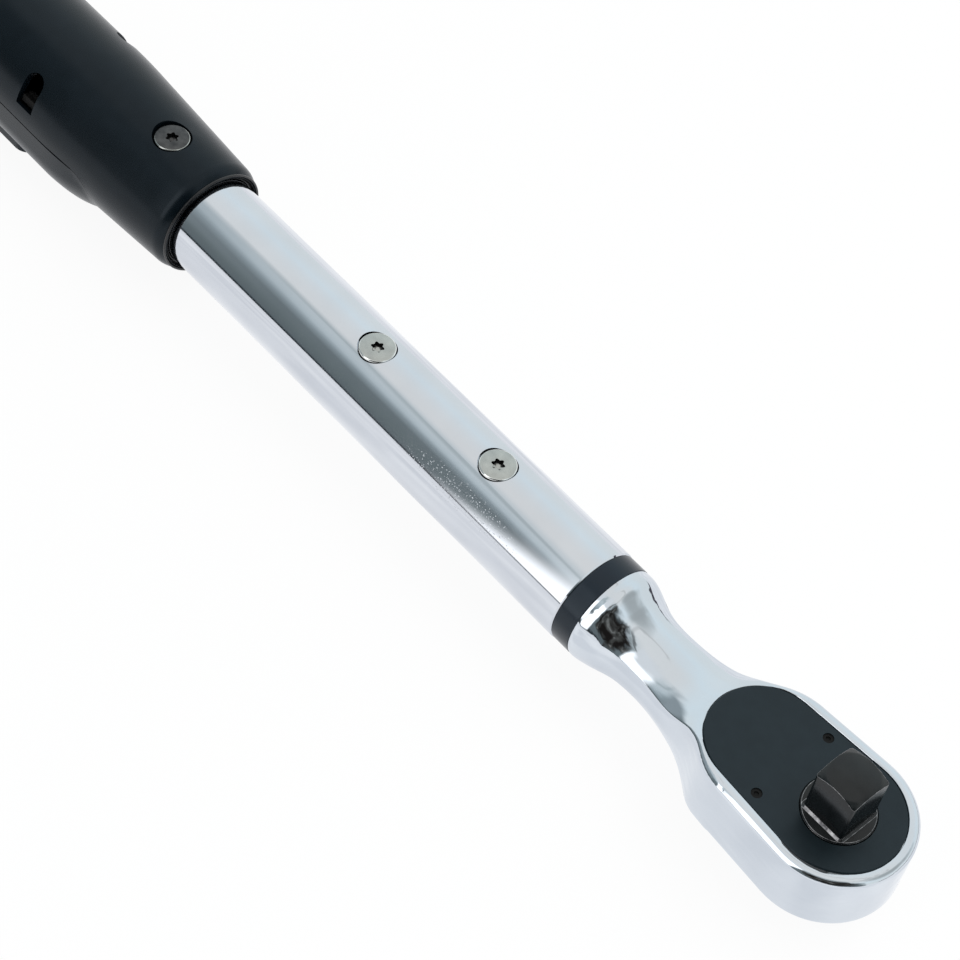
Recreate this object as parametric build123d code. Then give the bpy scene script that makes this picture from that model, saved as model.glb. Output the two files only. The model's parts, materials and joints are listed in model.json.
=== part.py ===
from build123d import *
import math
import os

# Digital torque wrench with a reversible ratchet head.
# Millimetres. X runs along the tool with the head at +X, Z along the drive square.
# The origin is where the axis of the drive crosses the axis of the tube.

os.makedirs("parts", exist_ok=True)

# Clearances
press_gap = 0.01          # between pieces pressed or glued together
turn_gap = 0.06           # radial, round a turning journal
slide_gap = 0.1           # round a sliding or loosely fitted piece
seam_gap = 0.15           # between the two housing shells

# Drive square and gear
drive_square = 12.7
drive_length = 15.2
drive_corner = 0.8
drive_root_bevel = 0.6
drive_crown = 1.6         # height of the turned cone at the end of the square
drive_crown_flat = 0.15   # the cone starts this far inside the flats
shoulder_radius = 9.58
shoulder_proud = 0.55     # shoulder above the cover plate
shoulder_chamfer = 0.3
gear_teeth = 60
gear_tip_radius = 13.65
gear_tooth_depth = 0.8
gear_end_gap = 0.2
journal_radius = 8.0
journal_length = 3.2

# Ratchet head
head_radius = 20.5
head_top = 9.5
head_bottom = -11.5
head_top_round = 2.0
head_bottom_round = 3.0
head_waist_radius = 18.5
head_waist_x = -30.0
head_split_x = -21.0      # block in front, lofted neck behind
plate_thickness = 2.0
plate_gap = 0.12
plate_radius = 17.2
plate_rear_radius = 15.5
plate_rear_x = -25.0
plate_edge = 0.25
plate_hole_gap = 0.22
pocket_depth = 14.1
pocket_gear_gap = 0.55
pocket_rear_radius = 12.9
pocket_front_radius = 11.5
pocket_front_x = -9.0
plate_screw_x = -15.6
plate_screw_y = 12.7
plate_screw_head = 1.45
plate_screw_head_height = 0.7
plate_screw_sunk = 0.3
plate_screw_shank = 0.95
plate_screw_length = 6.0
plate_screw_boss = 2.6

# Collar, trim ring and shank
collar_radius = 14.05
collar_x = -76.0
collar_end_x = -78.9
collar_corner_angle = 27.5
collar_corner_half = 5.0
trim_width = 6.3
trim_radius = 14.12
trim_edge = 0.3
gauge_setback = 13.1      # from the collar to the flats
gauge_flat_length = 22.0
gauge_flat_height = 7.5
gauge_length = 6.0
gauge_width = 4.5
gauge_thickness = 0.3
shank_past_screw = 16.1   # from the second tube screw to the end of the shank
cable_groove_width = 2.6
cable_groove_depth = 2.4

# Tube
tube_radius = 14.32
tube_wall = 2.0
tube_chamfer = 0.35
bare_tube_length = 155.8  # between the trim ring and the housing
tube_past_grip = 1.7

# Six-lobe screws
screw_rim = 0.45
recess_radius = 1.6
recess_wave = 0.25
recess_depth = 1.6
tube_screw_setback = 38.9 # from the trim ring to the first screw
tube_screw_pitch = 47.8
tube_screw_proud = 0.18   # head above the crest of the tube
tube_screw_head = 5.14
tube_screw_head_height = 2.9
tube_screw_gap = 0.3
tube_screw_shank = 3.0
tube_screw_length = 13.0
tube_screw_hole_depth = 14.0

# Housing
housing_radius = 20.4
lip_length = 4.0
lip_drop = 2.75           # the radius behind the lip is smaller than the full one by this
cone_length = 42.5
swell_height = 0.25       # radius gained between the slim cone and the straight flank
tail_length = 24.0
tail_drop = 2.0
heel_length = 2.5
heel_drop = 3.9
housing_wall = 2.2
mouth_radius = 15.45
mouth_depth = 5.5
front_ring_length = 29.0  # closed ring in front of the cover
rear_ring_length = 12.0
bore_front_drop = 1.8
bore_front_length = 22.0
bore_rear_drop = 1.4
bore_rear_length = 12.0
parting_nose_setback = 1.4
parting_nose_z = -9.5
parting_round = 8.0
cover_face_z = -19.6
cover_corner = 13.4
deck_setback = 65.0       # from the front of the housing
deck_tail = 18.0          # from the deck to the rear of the housing
deck_half_width = 15.5
deck_z = -22.0
deck_corner = 5.0
deck_edge = 0.9
deck_floor = 2.4
rib_thickness = 1.8
rib_spacing = 40.0
front_window_setback = 60.2
rear_window_setback = 31.0
window_width = 6.8
window_low_angle = 74.6   # from +Z
window_high_angle = 42.0
hook_width = 5.9
hook_thickness = 1.2
hook_gap = 0.15
hook_root_angle = 104.0
hook_foot_angle = 91.5
hook_reach_angle = 9.0    # tongue above the low end of its window
seam_lip_height = 2.0
seam_lip_thickness = 1.0
front_screw_setback = 18.7
rear_screw_setback = 6.0
housing_screw_top = (17.9, 16.9)
housing_screw_head = 5.1
housing_screw_head_height = 2.4
housing_screw_shank = 2.0
housing_screw_bite = 0.5  # past the inner face of the tube's wall
housing_recess_radius = 5.6

# Display, keys and board
lens_gap = 3.0            # between the light pipes' line and the lens
lens_length = 46.0
lens_width = 26.0
lens_corner = 2.0
lens_thickness = 1.4
lens_sunk = 0.25
lens_edge = 0.25
window_ledge = 2.2
lcd_thickness = 2.0
key_well_gap = 2.0        # between the lens and the well of the keys
key_well_margin = 6.0     # between the well and the rear of the deck
key_well_length = 30.0
key_well_width = 25.0
key_well_depth = 0.9
key_pitch_x = 13.4
key_pitch_y = 12.0
key_length = 10.4
key_width = 8.4
key_corner = 2.6
key_edge = 0.4
key_sunk = 0.2
key_travel = 0.6
key_flange = 0.8
key_flange_height = 0.6
key_stalk = 1.2
light_margin = 5.0        # from the front of the deck
light_pitch = 6.0
light_radius = 1.4
light_sunk = 0.15
board_gap = 0.1
board_thickness = 1.4
board_margin = 0.8
board_screw_radius = 1.0
board_screw_head = 1.9
board_screw_head_height = 0.9
board_screw_depth = 2.0
board_boss_radius = 2.2
switch_size = 4.5
switch_height = 0.8
switch_gap = 0.15
buzzer_radius = 4.0
buzzer_height = 2.0
buzzer_setback = 44.0     # from the front of the deck
buzzer_y = 8.3

# Handle and batteries
grip_gap = 0.5            # behind the housing
grip_radius = 16.9
grip_length = 159.0
grip_edge = 1.0
grip_groove_count = 5
grip_groove_inset = 20.0
grip_groove_depth = 0.9
grip_groove_width = 3.2
cell_radius = 7.1
cell_length = 49.2
cell_edge = 0.5
cell_tip_radius = 2.75
cell_tip_height = 1.2
liner_clearance = 0.3
liner_wall = 1.2
liner_flange = 2.0
liner_mouth = 3.6
contact_thickness = 0.6
contact_button = 3.0
cap_gap = 0.3
cap_radius = 16.9
cap_length = 15.0
cap_edge = 1.6
cap_floor = 1.0           # of the hollow in the spigot, in front of the cap's face
cap_spigot_length = 9.0
cap_spigot_wall = 2.6
cap_scallop_count = 12
cap_scallop_radius = 2.6
cap_scallop_bite = 1.1
cap_scallop_length = 10.0
cap_ring_offset = 2.6
cap_ring_section = 0.9
cap_ring_slack = 0.06
coin_slot_width = 2.4
coin_slot_depth = 2.0
coin_slot_length = 20.0

# Pawl and reversing lever
pawl_pivot_x = -19.5
pawl_pin_radius = 1.8
pawl_pin_foot = 3.0
pawl_swing = 8.0          # degrees each side of the middle
pawl_front_x = -8.0
pawl_shoulder_x = -13.0
pawl_half_width = 9.2
pawl_back_x = -24.4
pawl_back_half = 5.2
pawl_end_gap = 0.25
relief_half_width = 5.2
relief_gap = 0.75
mesh_gap = 0.08
lever_x = -29.5
lever_swing = 28.0        # degrees each side of the middle
lever_stem_radius = 4.5
lever_disc_radius = 6.6
lever_thickness = 3.4
lever_reach = 20.0
lever_tip_radius = 3.4
lever_low_edge = 0.9
lever_high_edge = 0.4
lever_rib_count = 3
lever_rib_pitch = 1.7
lever_running_gap = 0.4
clip_radius = 6.0
clip_thickness = 0.7
clip_groove_depth = 0.9
plunger_radius = 1.5
plunger_reach = 5.9
plunger_length = 4.4
plunger_hole_back = -3.0

# Detent of the drive square
detent_z = 17.8
detent_ball_radius = 1.9
detent_proud = 0.75
detent_hole_depth = 5.6

# Springs, cable and leads
detent_wire = 0.22
detent_turns = 3
plunger_wire = 0.2
plunger_turns = 4
cap_wire = 0.4
cap_turns = 3
cap_coil_radius = 4.0
cap_disc_radius = 6.0
cap_disc_thickness = 0.4
cap_spring_length = 19.7
weld_sink = 0.1           # of the spring's first turn in its disc
lead_hole_setback = 16.0  # from the front of the deck
lead_hole_radius = 2.6
cable_radius = 0.9
cable_floor_gap = 0.15
cable_start = 14.0        # along the gauge flat, from its rear end
cable_bend = 8.0
cable_drop = 1.5
cable_hole_offset = 1.4
lead_radius = 0.55
lead_spread = 1.3
lead_start_z = -4.0
lead_run = 14.0           # straight in front of the contact
lead_drop = 30.0          # down to the floor of the tube

# Stations along the tool, from the collar to the cap
gauge_flat_x = collar_end_x - gauge_setback
tube_front_x = collar_end_x - trim_width
first_screw_x = tube_front_x - tube_screw_setback
tube_screw_x = (first_screw_x, first_screw_x - tube_screw_pitch)
shank_end_x = tube_screw_x[1] - shank_past_screw
housing_front_x = tube_front_x - bare_tube_length
ring_front_x = housing_front_x - front_ring_length
parting_nose_x = ring_front_x - parting_nose_setback
deck_front_x = housing_front_x - deck_setback
light_x = deck_front_x - light_margin
lead_hole_x = deck_front_x - lead_hole_setback
buzzer_x = deck_front_x - buzzer_setback
lens_x = light_x - lens_gap - lens_length / 2
key_well_x = lens_x - lens_length / 2 - key_well_gap - key_well_length / 2
deck_rear_x = key_well_x - key_well_length / 2 - key_well_margin
deck_middle_x = (deck_front_x + deck_rear_x) / 2
deck_length = deck_front_x - deck_rear_x
housing_rear_x = deck_rear_x - deck_tail
ring_rear_x = housing_rear_x + rear_ring_length
rib_x = (deck_middle_x + rib_spacing / 2, deck_middle_x - rib_spacing / 2)
window_x = (housing_front_x - front_window_setback, housing_rear_x + rear_window_setback)
housing_screw_x = (housing_front_x - front_screw_setback, housing_rear_x + rear_screw_setback)
grip_front_x = housing_rear_x - grip_gap
grip_rear_x = grip_front_x - grip_length
tube_rear_x = grip_rear_x - tube_past_grip
cap_front_x = tube_rear_x - cap_gap
cap_rear_x = cap_front_x - cap_length
cap_ring_x = cap_front_x + cap_ring_offset
cap_seat_x = cap_front_x + cap_floor
cell_pitch = cell_length + cell_tip_height
cell_rear_x = cap_seat_x + cap_spring_length
cell_front_x = cell_rear_x + 2 * cell_pitch
liner_front_x = cell_front_x + liner_flange

# Sizes that follow from the ones above
plate_bottom = head_top - plate_thickness
plate_hole_radius = shoulder_radius + plate_hole_gap
pocket_floor = plate_bottom - pocket_depth
pocket_gear_radius = gear_tip_radius + pocket_gear_gap
shoulder_top = head_top + shoulder_proud
drive_top = shoulder_top + drive_length
gear_bottom = pocket_floor + gear_end_gap
gear_top = plate_bottom - gear_end_gap
head_lean = math.asin((head_radius - head_waist_radius) / -head_waist_x)
split_half = (head_radius + head_split_x * math.sin(head_lean)) / math.cos(head_lean)
tube_bore = tube_radius - tube_wall
tube_screw_top = tube_radius + tube_screw_proud
shank_radius = tube_bore - slide_gap
cable_z = cable_radius + cable_floor_gap - tube_bore
cover_half_width = housing_radius
cover_inner_half = cover_half_width - housing_wall
wall_inside = housing_radius - housing_wall
deck_inner_z = deck_z + deck_floor
lens_top_z = deck_z + lens_sunk
lens_bottom_z = lens_top_z + lens_thickness
lcd_front_z = deck_inner_z + slide_gap
board_front_z = lcd_front_z + lcd_thickness + board_gap
board_back_z = board_front_z + board_thickness
board_inset = housing_wall + board_margin
key_deck_z = deck_z + key_well_depth
key_top_z = deck_z + key_sunk
switch_top_z = board_front_z - switch_height
liner_bore = cell_radius + liner_clearance
liner_radius = tube_bore - slide_gap
pawl_low = pocket_floor + pawl_end_gap
pawl_high = plate_bottom - pawl_end_gap
plunger_z = (pawl_low + pawl_high) / 2
plunger_back = plunger_reach - plunger_length
lever_top = head_bottom - lever_running_gap
lever_bottom = lever_top - lever_thickness
stem_top = plate_bottom - pawl_end_gap
clip_low = pocket_floor - clip_thickness - 0.15


def rod(x_high, x_low, radius):
    """Solid round bar along X."""
    length = x_high - x_low
    return Pos((x_high + x_low) / 2, 0, 0) * Rot(0, 90, 0) * Cylinder(radius, length)


def tube_piece(x_high, x_low, outer, inner):
    """Round ring or pipe along X."""
    return rod(x_high, x_low, outer) - rod(x_high + 1, x_low - 1, inner)


def post(x, y, z_low, z_high, radius):
    """Solid round post along Z."""
    return Pos(x, y, (z_low + z_high) / 2) * Cylinder(radius, z_high - z_low)


def slab(x_centre, y_centre, z_low, z_high, length, width, corner=0.0):
    """Plate in the XY plane, with rounded corners where asked."""
    outline = RectangleRounded(length, width, corner) if corner else Rectangle(length, width)
    return Pos(x_centre, y_centre, z_low) * extrude(outline, z_high - z_low)


def tapered_slot(x_front, radius_front, x_rear, radius_rear):
    """Two circles joined by their tangents, drawn in the XY plane."""
    front = Pos(x_front, 0) * Circle(radius_front)
    rear = Pos(x_rear, 0) * Circle(radius_rear)
    return make_hull(front.edges() + rear.edges())


def turned_about_x(profile_points):
    """Solid turned about X from (x, radius) points joined by straight lines."""
    return revolve(make_face(Polyline(*profile_points, close=True)), Axis.X)


def turned_about(x, angle):
    """Turn about the Z line through (x, 0)."""
    return Pos(x, 0, 0) * Rot(0, 0, angle) * Pos(-x, 0, 0)


def across_tool(x):
    """Plane square to the tool at x, drawn with +Y to the right and +Z up."""
    return Plane(origin=(x, 0, 0), x_dir=(0, 1, 0), z_dir=(1, 0, 0))


def polar(radius, angle):
    """Point on a circle, the angle in degrees."""
    return (radius * math.cos(math.radians(angle)), radius * math.sin(math.radians(angle)))


def round_edges(part, radius):
    """Circular edges of one radius."""
    circles = [e for e in part.edges() if e.geom_type == GeomType.CIRCLE]
    return [e for e in circles if abs(e.radius - radius) < 1e-3]


def top_face(part):
    return part.faces().sort_by(Axis.Z)[-1]


def bottom_face(part):
    return part.faces().sort_by(Axis.Z)[0]


def coil(radius, wire, pitch, turns):
    """Helical spring along Z with a square wire, starting at z = 0."""
    path = Helix(pitch, pitch * turns, radius)
    section = Plane(path @ 0, z_dir=path % 0) * Rectangle(2 * wire, 2 * wire)
    return sweep(section, path=path, is_frenet=True)


def wire_along(points, radii, radius):
    """Plain six-sided wire along straight runs joined by arcs."""
    path = FilletPolyline(*points, radius=radii)
    section = Plane(path @ 0, z_dir=path % 0) * RegularPolygon(radius, 6)
    return sweep(section, path=path)


# Ratchet head


def bow(start, through, end):
    """Arc between two corners, or a line where the arc would be flat."""
    chord = Vector(*end) - Vector(*start)
    lean = Vector(*through) - Vector(*start)
    if abs(chord.X * lean.Y - chord.Y * lean.X) < 1e-6:
        return Line(start, end)
    return ThreePointArc(start, through, end)


def neck_section(x, half, brow, crown, chin, sole, bulge, soft_top, soft_low):
    """Section of the neck: four bowed sides with softened corners."""
    corners = [(half, brow), (-half, brow), (-half, chin), (half, chin)]
    middle = (brow + chin) / 2
    through = [(0, crown), (-half - bulge, middle), (0, sole), (half + bulge, middle)]
    sides = [bow(corners[i], through[i], corners[(i + 1) % 4]) for i in range(4)]
    face = make_face(sides).face()
    face = face.fillet_2d(soft_top, [v for v in face.vertices() if v.Y > middle])
    lower = [v for v in face.vertices() if v.Y < middle and abs(abs(v.X) - half) < 1e-4]
    return across_tool(x) * face.fillet_2d(soft_low, lower)


def collar_section(x, radius):
    """Circle cut into the same eight pieces as a neck section."""
    angles = []
    for middle in (collar_corner_angle, 180 - collar_corner_angle):
        angles += [middle - collar_corner_half, middle + collar_corner_half]
    angles += [angle + 180 for angle in angles]
    arcs = []
    for start, end in zip(angles, angles[1:] + [angles[0] + 360]):
        bounds = [polar(radius, angle) for angle in (start, (start + end) / 2, end)]
        arcs.append(ThreePointArc(*bounds))
    return across_tool(x) * make_face(arcs).face()


# x, half width, top edge, top middle, bottom edge, bottom middle, bulge of the sides,
# then the softening of the top and bottom corners
neck_stations = [
    (head_split_x, split_half, head_top, head_top, head_bottom, head_bottom, 0.0, 2.0, 3.0),
    (head_split_x - 3, split_half - 0.2, head_top, head_top, head_bottom, head_bottom, 0.0, 2.0, 2.7),
    (head_split_x - 6.5, split_half - 0.95, head_top, head_top, head_bottom, head_bottom, 0.05, 2.0, 1.9),
    (head_split_x - 10, split_half - 2.5, head_top - 0.05, head_top, head_bottom + 0.1, head_bottom, 0.1, 1.9, 0.9),
    (head_split_x - 14, split_half - 5.0, head_top - 0.4, head_top, head_bottom + 0.8, head_bottom + 0.15, 0.25, 1.7, 1.0),
    (head_split_x - 18, split_half - 6.9, head_top - 1.9, head_top, head_bottom + 2.45, head_bottom + 0.9, 0.45, 1.3, 1.2),
    (-43.0, 11.3, 5.5, 8.6, -7.1, -9.3, 0.7, 1.0, 1.2),
    (-47.5, 10.7, 4.1, 7.4, -5.7, -8.0, 0.85, 0.9, 1.2),
    (-52.0, 10.05, 3.8, 6.9, -5.15, -7.3, 0.95, 0.9, 1.2),
    (-57.0, 9.5, 4.0, 6.9, -5.25, -7.1, 1.0, 0.9, 1.2),
    (-62.0, 9.4, 4.05, 7.4, -5.5, -7.5, 1.05, 1.0, 1.2),
    (collar_x + 9, collar_radius - 4.15, 4.4, 9.0, -5.85, -9.0, 1.15, 1.2, 1.3),
    (collar_x + 5, collar_radius - 2.85, 4.95, 11.0, -6.0, -11.0, 1.4, 1.5, 1.5),
]


def make_shank():
    """Round shank that enters the tube, with two gauge flats, a cable groove and screw seats."""
    shank = rod(collar_end_x, shank_end_x, shank_radius)
    shank = chamfer(shank.edges().sort_by(Axis.X)[0], 1.0)
    flat_drop = shank_radius - gauge_flat_height
    cuts = []
    for side in (1, -1):
        place = Pos(gauge_flat_x - gauge_flat_length / 2, 0, side * (gauge_flat_height + flat_drop / 2))
        cuts.append(place * Box(gauge_flat_length, 3 * shank_radius, flat_drop))
    groove_length = gauge_flat_x - shank_end_x + 1
    groove = Box(groove_length, cable_groove_width, 2 * cable_groove_depth)
    cuts.append(Pos(gauge_flat_x - groove_length / 2, 0, -shank_radius) * groove)
    seat_z = tube_screw_top - tube_screw_head_height
    for x in tube_screw_x:
        cuts.append(post(x, 0, seat_z, tube_radius, tube_screw_head + tube_screw_gap))
        cuts.append(post(x, 0, seat_z - tube_screw_hole_depth, seat_z, tube_screw_shank + press_gap))
    return shank - cuts


def plate_screw_holes(z_low, z_high, radius):
    return [post(plate_screw_x, side * plate_screw_y, z_low, z_high, radius) for side in (1, -1)]


def make_ratchet_head():
    outline = tapered_slot(0, head_radius, head_waist_x, head_waist_radius)
    block = Pos(0, 0, head_bottom) * extrude(outline, head_top - head_bottom)
    block = fillet(top_face(block).edges(), head_top_round)
    block = fillet(bottom_face(block).edges(), head_bottom_round)
    block = split(block, Plane(origin=(head_split_x, 0, 0), z_dir=(1, 0, 0)), keep=Keep.TOP)

    sections = [neck_section(*station) for station in neck_stations]
    sections.append(collar_section(collar_x + 1.6, collar_radius - 0.5))
    sections += [collar_section(x, collar_radius) for x in (collar_x - 0.8, collar_end_x)]
    neck = loft(sections)

    recess = tapered_slot(0, plate_radius + plate_gap, plate_rear_x, plate_rear_radius + plate_gap)
    pocket = Pos(0, 0, pocket_floor) * extrude(
        tapered_slot(pocket_front_x, pocket_front_radius, plate_rear_x, pocket_rear_radius),
        pocket_depth + 1,
    )
    pocket -= plate_screw_holes(pocket_floor - 1, head_top + 1, plate_screw_boss)
    pocket += post(0, 0, pocket_floor, plate_bottom + 1, pocket_gear_radius)
    journal_low = gear_bottom - journal_length - gear_end_gap
    clip_room_low = clip_low - gear_end_gap
    cuts = [
        Pos(0, 0, plate_bottom) * extrude(recess, plate_thickness + 1),
        pocket,
        post(0, 0, journal_low, pocket_floor, journal_radius + turn_gap),
        post(pawl_pivot_x, 0, pocket_floor - pawl_pin_foot, pocket_floor, pawl_pin_radius + press_gap),
        post(lever_x, 0, head_bottom - 1, pocket_floor + 1, lever_stem_radius + turn_gap),
        post(lever_x, 0, clip_room_low, pocket_floor + 1, clip_radius + 0.3),
    ]
    cuts += plate_screw_holes(plate_bottom - plate_screw_length, plate_bottom, plate_screw_shank + press_gap)
    return (block + [neck, make_shank()]) - cuts


def make_cover_plate():
    outline = tapered_slot(0, plate_radius, plate_rear_x, plate_rear_radius)
    plate = Pos(0, 0, plate_bottom) * extrude(outline, plate_thickness)
    plate = chamfer(top_face(plate).edges(), plate_edge)
    seat_z = head_top - plate_screw_sunk - plate_screw_head_height
    cuts = [post(0, 0, plate_bottom - 1, head_top + 1, plate_hole_radius)]
    cuts += plate_screw_holes(plate_bottom - 1, head_top + 1, plate_screw_shank + slide_gap)
    cuts += plate_screw_holes(seat_z, head_top + 1, plate_screw_head + press_gap)
    return plate - cuts


def make_cover_screws():
    screws = []
    head_high = head_top - plate_screw_sunk
    head_low = head_high - plate_screw_head_height
    for side in (1, -1):
        y = side * plate_screw_y
        screw = post(plate_screw_x, y, head_low, head_high, plate_screw_head)
        screw += post(plate_screw_x, y, plate_bottom - plate_screw_length, head_low, plate_screw_shank)
        socket = extrude(RegularPolygon(plate_screw_head / 2, 6), plate_screw_head_height)
        screws.append(screw - Pos(plate_screw_x, y, head_low + plate_screw_head_height / 2) * socket)
    return screws


# Drive gear and its detent


def gear_outline(grow=0.0):
    """Symmetrical ratchet teeth, with one tooth on the X axis."""
    tip = gear_tip_radius + grow
    root = gear_tip_radius - gear_tooth_depth + grow
    pitch = 360 / gear_teeth
    points = []
    for i in range(gear_teeth):
        for radius, turn in ((root, -0.42), (tip, -0.1), (tip, 0.1), (root, 0.42)):
            points.append(polar(radius, (i + turn) * pitch))
    return make_face(Polyline(*points, close=True))


def crowned_square():
    """The drive square, its free end turned to a low cone."""
    square = extrude(RectangleRounded(drive_square, drive_square, drive_corner), drive_length)
    reach = drive_square / math.sqrt(2)
    crown = Polyline(
        (0, -1),
        (reach, -1),
        (reach, drive_length - drive_crown),
        (drive_square / 2 - drive_crown_flat, drive_length),
        (0, drive_length),
        close=True,
    )
    return Pos(0, 0, shoulder_top) * (square & revolve(Plane.XZ * make_face(crown), Axis.Z))


def make_drive_gear():
    gear = Pos(0, 0, gear_bottom) * extrude(gear_outline(), gear_top - gear_bottom)
    journal = post(0, 0, gear_bottom - journal_length, gear_bottom, journal_radius)
    shoulder = post(0, 0, gear_top, shoulder_top, shoulder_radius)
    shoulder = chamfer(shoulder.edges().sort_by(Axis.Z)[-1], shoulder_chamfer)
    gear += [journal, shoulder, crowned_square()]
    root = [e for e in gear.edges() if abs(e.center().Z - shoulder_top) < 1e-3 and e.length < drive_square]
    gear = chamfer(root, drive_root_bevel)
    hole = extrude(Circle(detent_ball_radius + turn_gap), detent_hole_depth + 1)
    return gear - Pos(0, drive_square / 2 - detent_hole_depth, detent_z) * Rot(-90, 0, 0) * hole


detent_ball_y = drive_square / 2 + detent_proud - detent_ball_radius


def make_detent_ball():
    return Pos(0, detent_ball_y, detent_z) * Sphere(detent_ball_radius)


def make_detent_spring():
    floor_y = drive_square / 2 - detent_hole_depth
    span = detent_ball_y - detent_ball_radius - floor_y - 2 * detent_wire
    spring = coil(detent_ball_radius - 0.5, detent_wire, span / detent_turns, detent_turns)
    return Pos(0, floor_y + detent_wire, detent_z) * Rot(-90, 0, 0) * spring


# Pawl and reversing lever


def plunger_tip_in_pawl(lever_angle, pawl_angle):
    """Centre of the plunger's round tip, seen from the pawl."""
    tip_x, tip_y = polar(plunger_reach - plunger_radius, lever_angle)
    tip = Vector(tip_x + lever_x - pawl_pivot_x, tip_y).rotate(Axis.Z, pawl_angle)
    return tip.X + pawl_pivot_x, tip.Y


def make_pawl():
    """Rocker pawl, shaped in its middle position and then turned to its resting side."""
    outline = Polyline(
        (pawl_front_x, -pawl_half_width),
        (pawl_front_x, pawl_half_width),
        (pawl_shoulder_x, pawl_half_width + 0.2),
        (pawl_back_x, pawl_back_half),
        (pawl_back_x, -pawl_back_half),
        (pawl_shoulder_x, -pawl_half_width - 0.2),
        close=True,
    )
    pawl = Pos(0, 0, pawl_low) * extrude(make_face(outline), pawl_high - pawl_low)
    teeth = Pos(0, 0, pocket_floor) * extrude(gear_outline(mesh_gap), pocket_depth)
    cuts = [turned_about(pawl_pivot_x, side * pawl_swing) * teeth for side in (1, -1)]
    relief_radius = gear_tip_radius + relief_gap
    relief = slab(-relief_radius, 0, pocket_floor, plate_bottom, 2 * relief_radius, 2 * relief_half_width)
    cuts.append(relief & post(0, 0, pocket_floor, plate_bottom, relief_radius))
    cuts.append(post(pawl_pivot_x, 0, pocket_floor, plate_bottom, pawl_pin_radius + turn_gap))
    side_x, side_y = plunger_tip_in_pawl(lever_swing, pawl_swing)
    middle_x = lever_x + plunger_reach - plunger_radius
    sagitta = middle_x - side_x
    path_radius = (side_y**2 + sagitta**2) / (2 * sagitta)
    notch_radius = path_radius + plunger_radius + mesh_gap
    cuts.append(post(middle_x - path_radius, 0, pocket_floor, plate_bottom, notch_radius))
    return turned_about(pawl_pivot_x, -pawl_swing) * (pawl - cuts)


def make_pawl_pin():
    return post(pawl_pivot_x, 0, pocket_floor - pawl_pin_foot, plate_bottom - press_gap, pawl_pin_radius)


def along_lever(part):
    """Place a piece drawn along +Z on the plunger's line, at the lever's resting side."""
    return Pos(lever_x, 0, plunger_z) * Rot(0, 0, lever_swing) * Rot(0, 90, 0) * part


def make_plunger():
    shank = Pos(0, 0, plunger_back) * extrude(Circle(plunger_radius), plunger_length - plunger_radius)
    tip = Pos(0, 0, plunger_reach - plunger_radius) * Sphere(plunger_radius)
    return along_lever(shank + tip)


def make_plunger_spring():
    span = plunger_back - plunger_hole_back - 2 * plunger_wire
    spring = coil(plunger_radius - 0.35, plunger_wire, span / plunger_turns, plunger_turns)
    return along_lever(Pos(0, 0, plunger_hole_back + plunger_wire) * spring)


def make_reverse_lever():
    stem = post(lever_x, 0, lever_bottom + 1, stem_top, lever_stem_radius)
    stem = chamfer(stem.edges().sort_by(Axis.Z)[-1], 0.4)
    groove_high = clip_low + clip_thickness + 0.05
    groove = post(lever_x, 0, clip_low - 0.05, groove_high, lever_stem_radius + 1)
    groove -= post(lever_x, 0, clip_low - 1, groove_high + 1, lever_stem_radius - clip_groove_depth)
    hole = Pos(0, 0, plunger_hole_back) * extrude(
        Circle(plunger_radius + turn_gap), lever_stem_radius - plunger_hole_back + 1
    )
    stem -= [groove, along_lever(hole)]
    arm = tapered_slot(0, lever_disc_radius, lever_reach, lever_tip_radius)
    blade = Pos(0, 0, lever_bottom) * extrude(arm, lever_thickness)
    blade = chamfer(bottom_face(blade).edges(), lever_low_edge)
    blade = chamfer(top_face(blade).edges(), lever_high_edge)
    for i in range(lever_rib_count):
        groove_x = lever_reach + lever_tip_radius / 2 - lever_rib_pitch * i
        rib = Rot(90, 0, 0) * Cylinder(lever_rib_pitch / 4, 4 * lever_tip_radius)
        blade -= Pos(groove_x, 0, lever_bottom) * rib
    return stem + Pos(lever_x, 0, 0) * Rot(0, 0, lever_swing) * blade


def make_lever_clip():
    inner = lever_stem_radius - clip_groove_depth + press_gap
    clip = post(lever_x, 0, clip_low, clip_low + clip_thickness, clip_radius)
    mouth = Pos(lever_x - clip_radius, 0, clip_low) * Box(2 * clip_radius, 1.5 * inner, 4)
    return clip - [post(lever_x, 0, clip_low - 1, clip_low + 2, inner), mouth]


# Tube, trim ring and screws


def lobed_recess():
    """Six-lobe socket drawn in the XY plane, its radius a wave round the circle."""
    steps = 36
    points = []
    for i in range(steps):
        angle = 360 / steps * i
        points.append(polar(recess_radius + recess_wave * math.cos(math.radians(6 * angle)), angle))
    return make_face(Polyline(*points, close=True))


def lobed_screw(x, top, head_radius, head_height, shank_radius, length):
    """Flat-topped screw with a six-lobe socket, its axis along Z."""
    head_low = top - head_height
    head = chamfer(post(x, 0, head_low, top, head_radius).edges().sort_by(Axis.Z)[-1], screw_rim)
    screw = head + post(x, 0, head_low - length, head_low, shank_radius)
    return screw - Pos(x, 0, top - recess_depth) * extrude(lobed_recess(), recess_depth + 1)


def make_tube_screws():
    sizes = (tube_screw_top, tube_screw_head, tube_screw_head_height, tube_screw_shank, tube_screw_length)
    return [lobed_screw(x, *sizes) for x in tube_screw_x]


def make_trim_ring():
    ring = tube_piece(collar_end_x, tube_front_x, trim_radius, shank_radius + press_gap)
    return chamfer(round_edges(ring, trim_radius), trim_edge)


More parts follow.
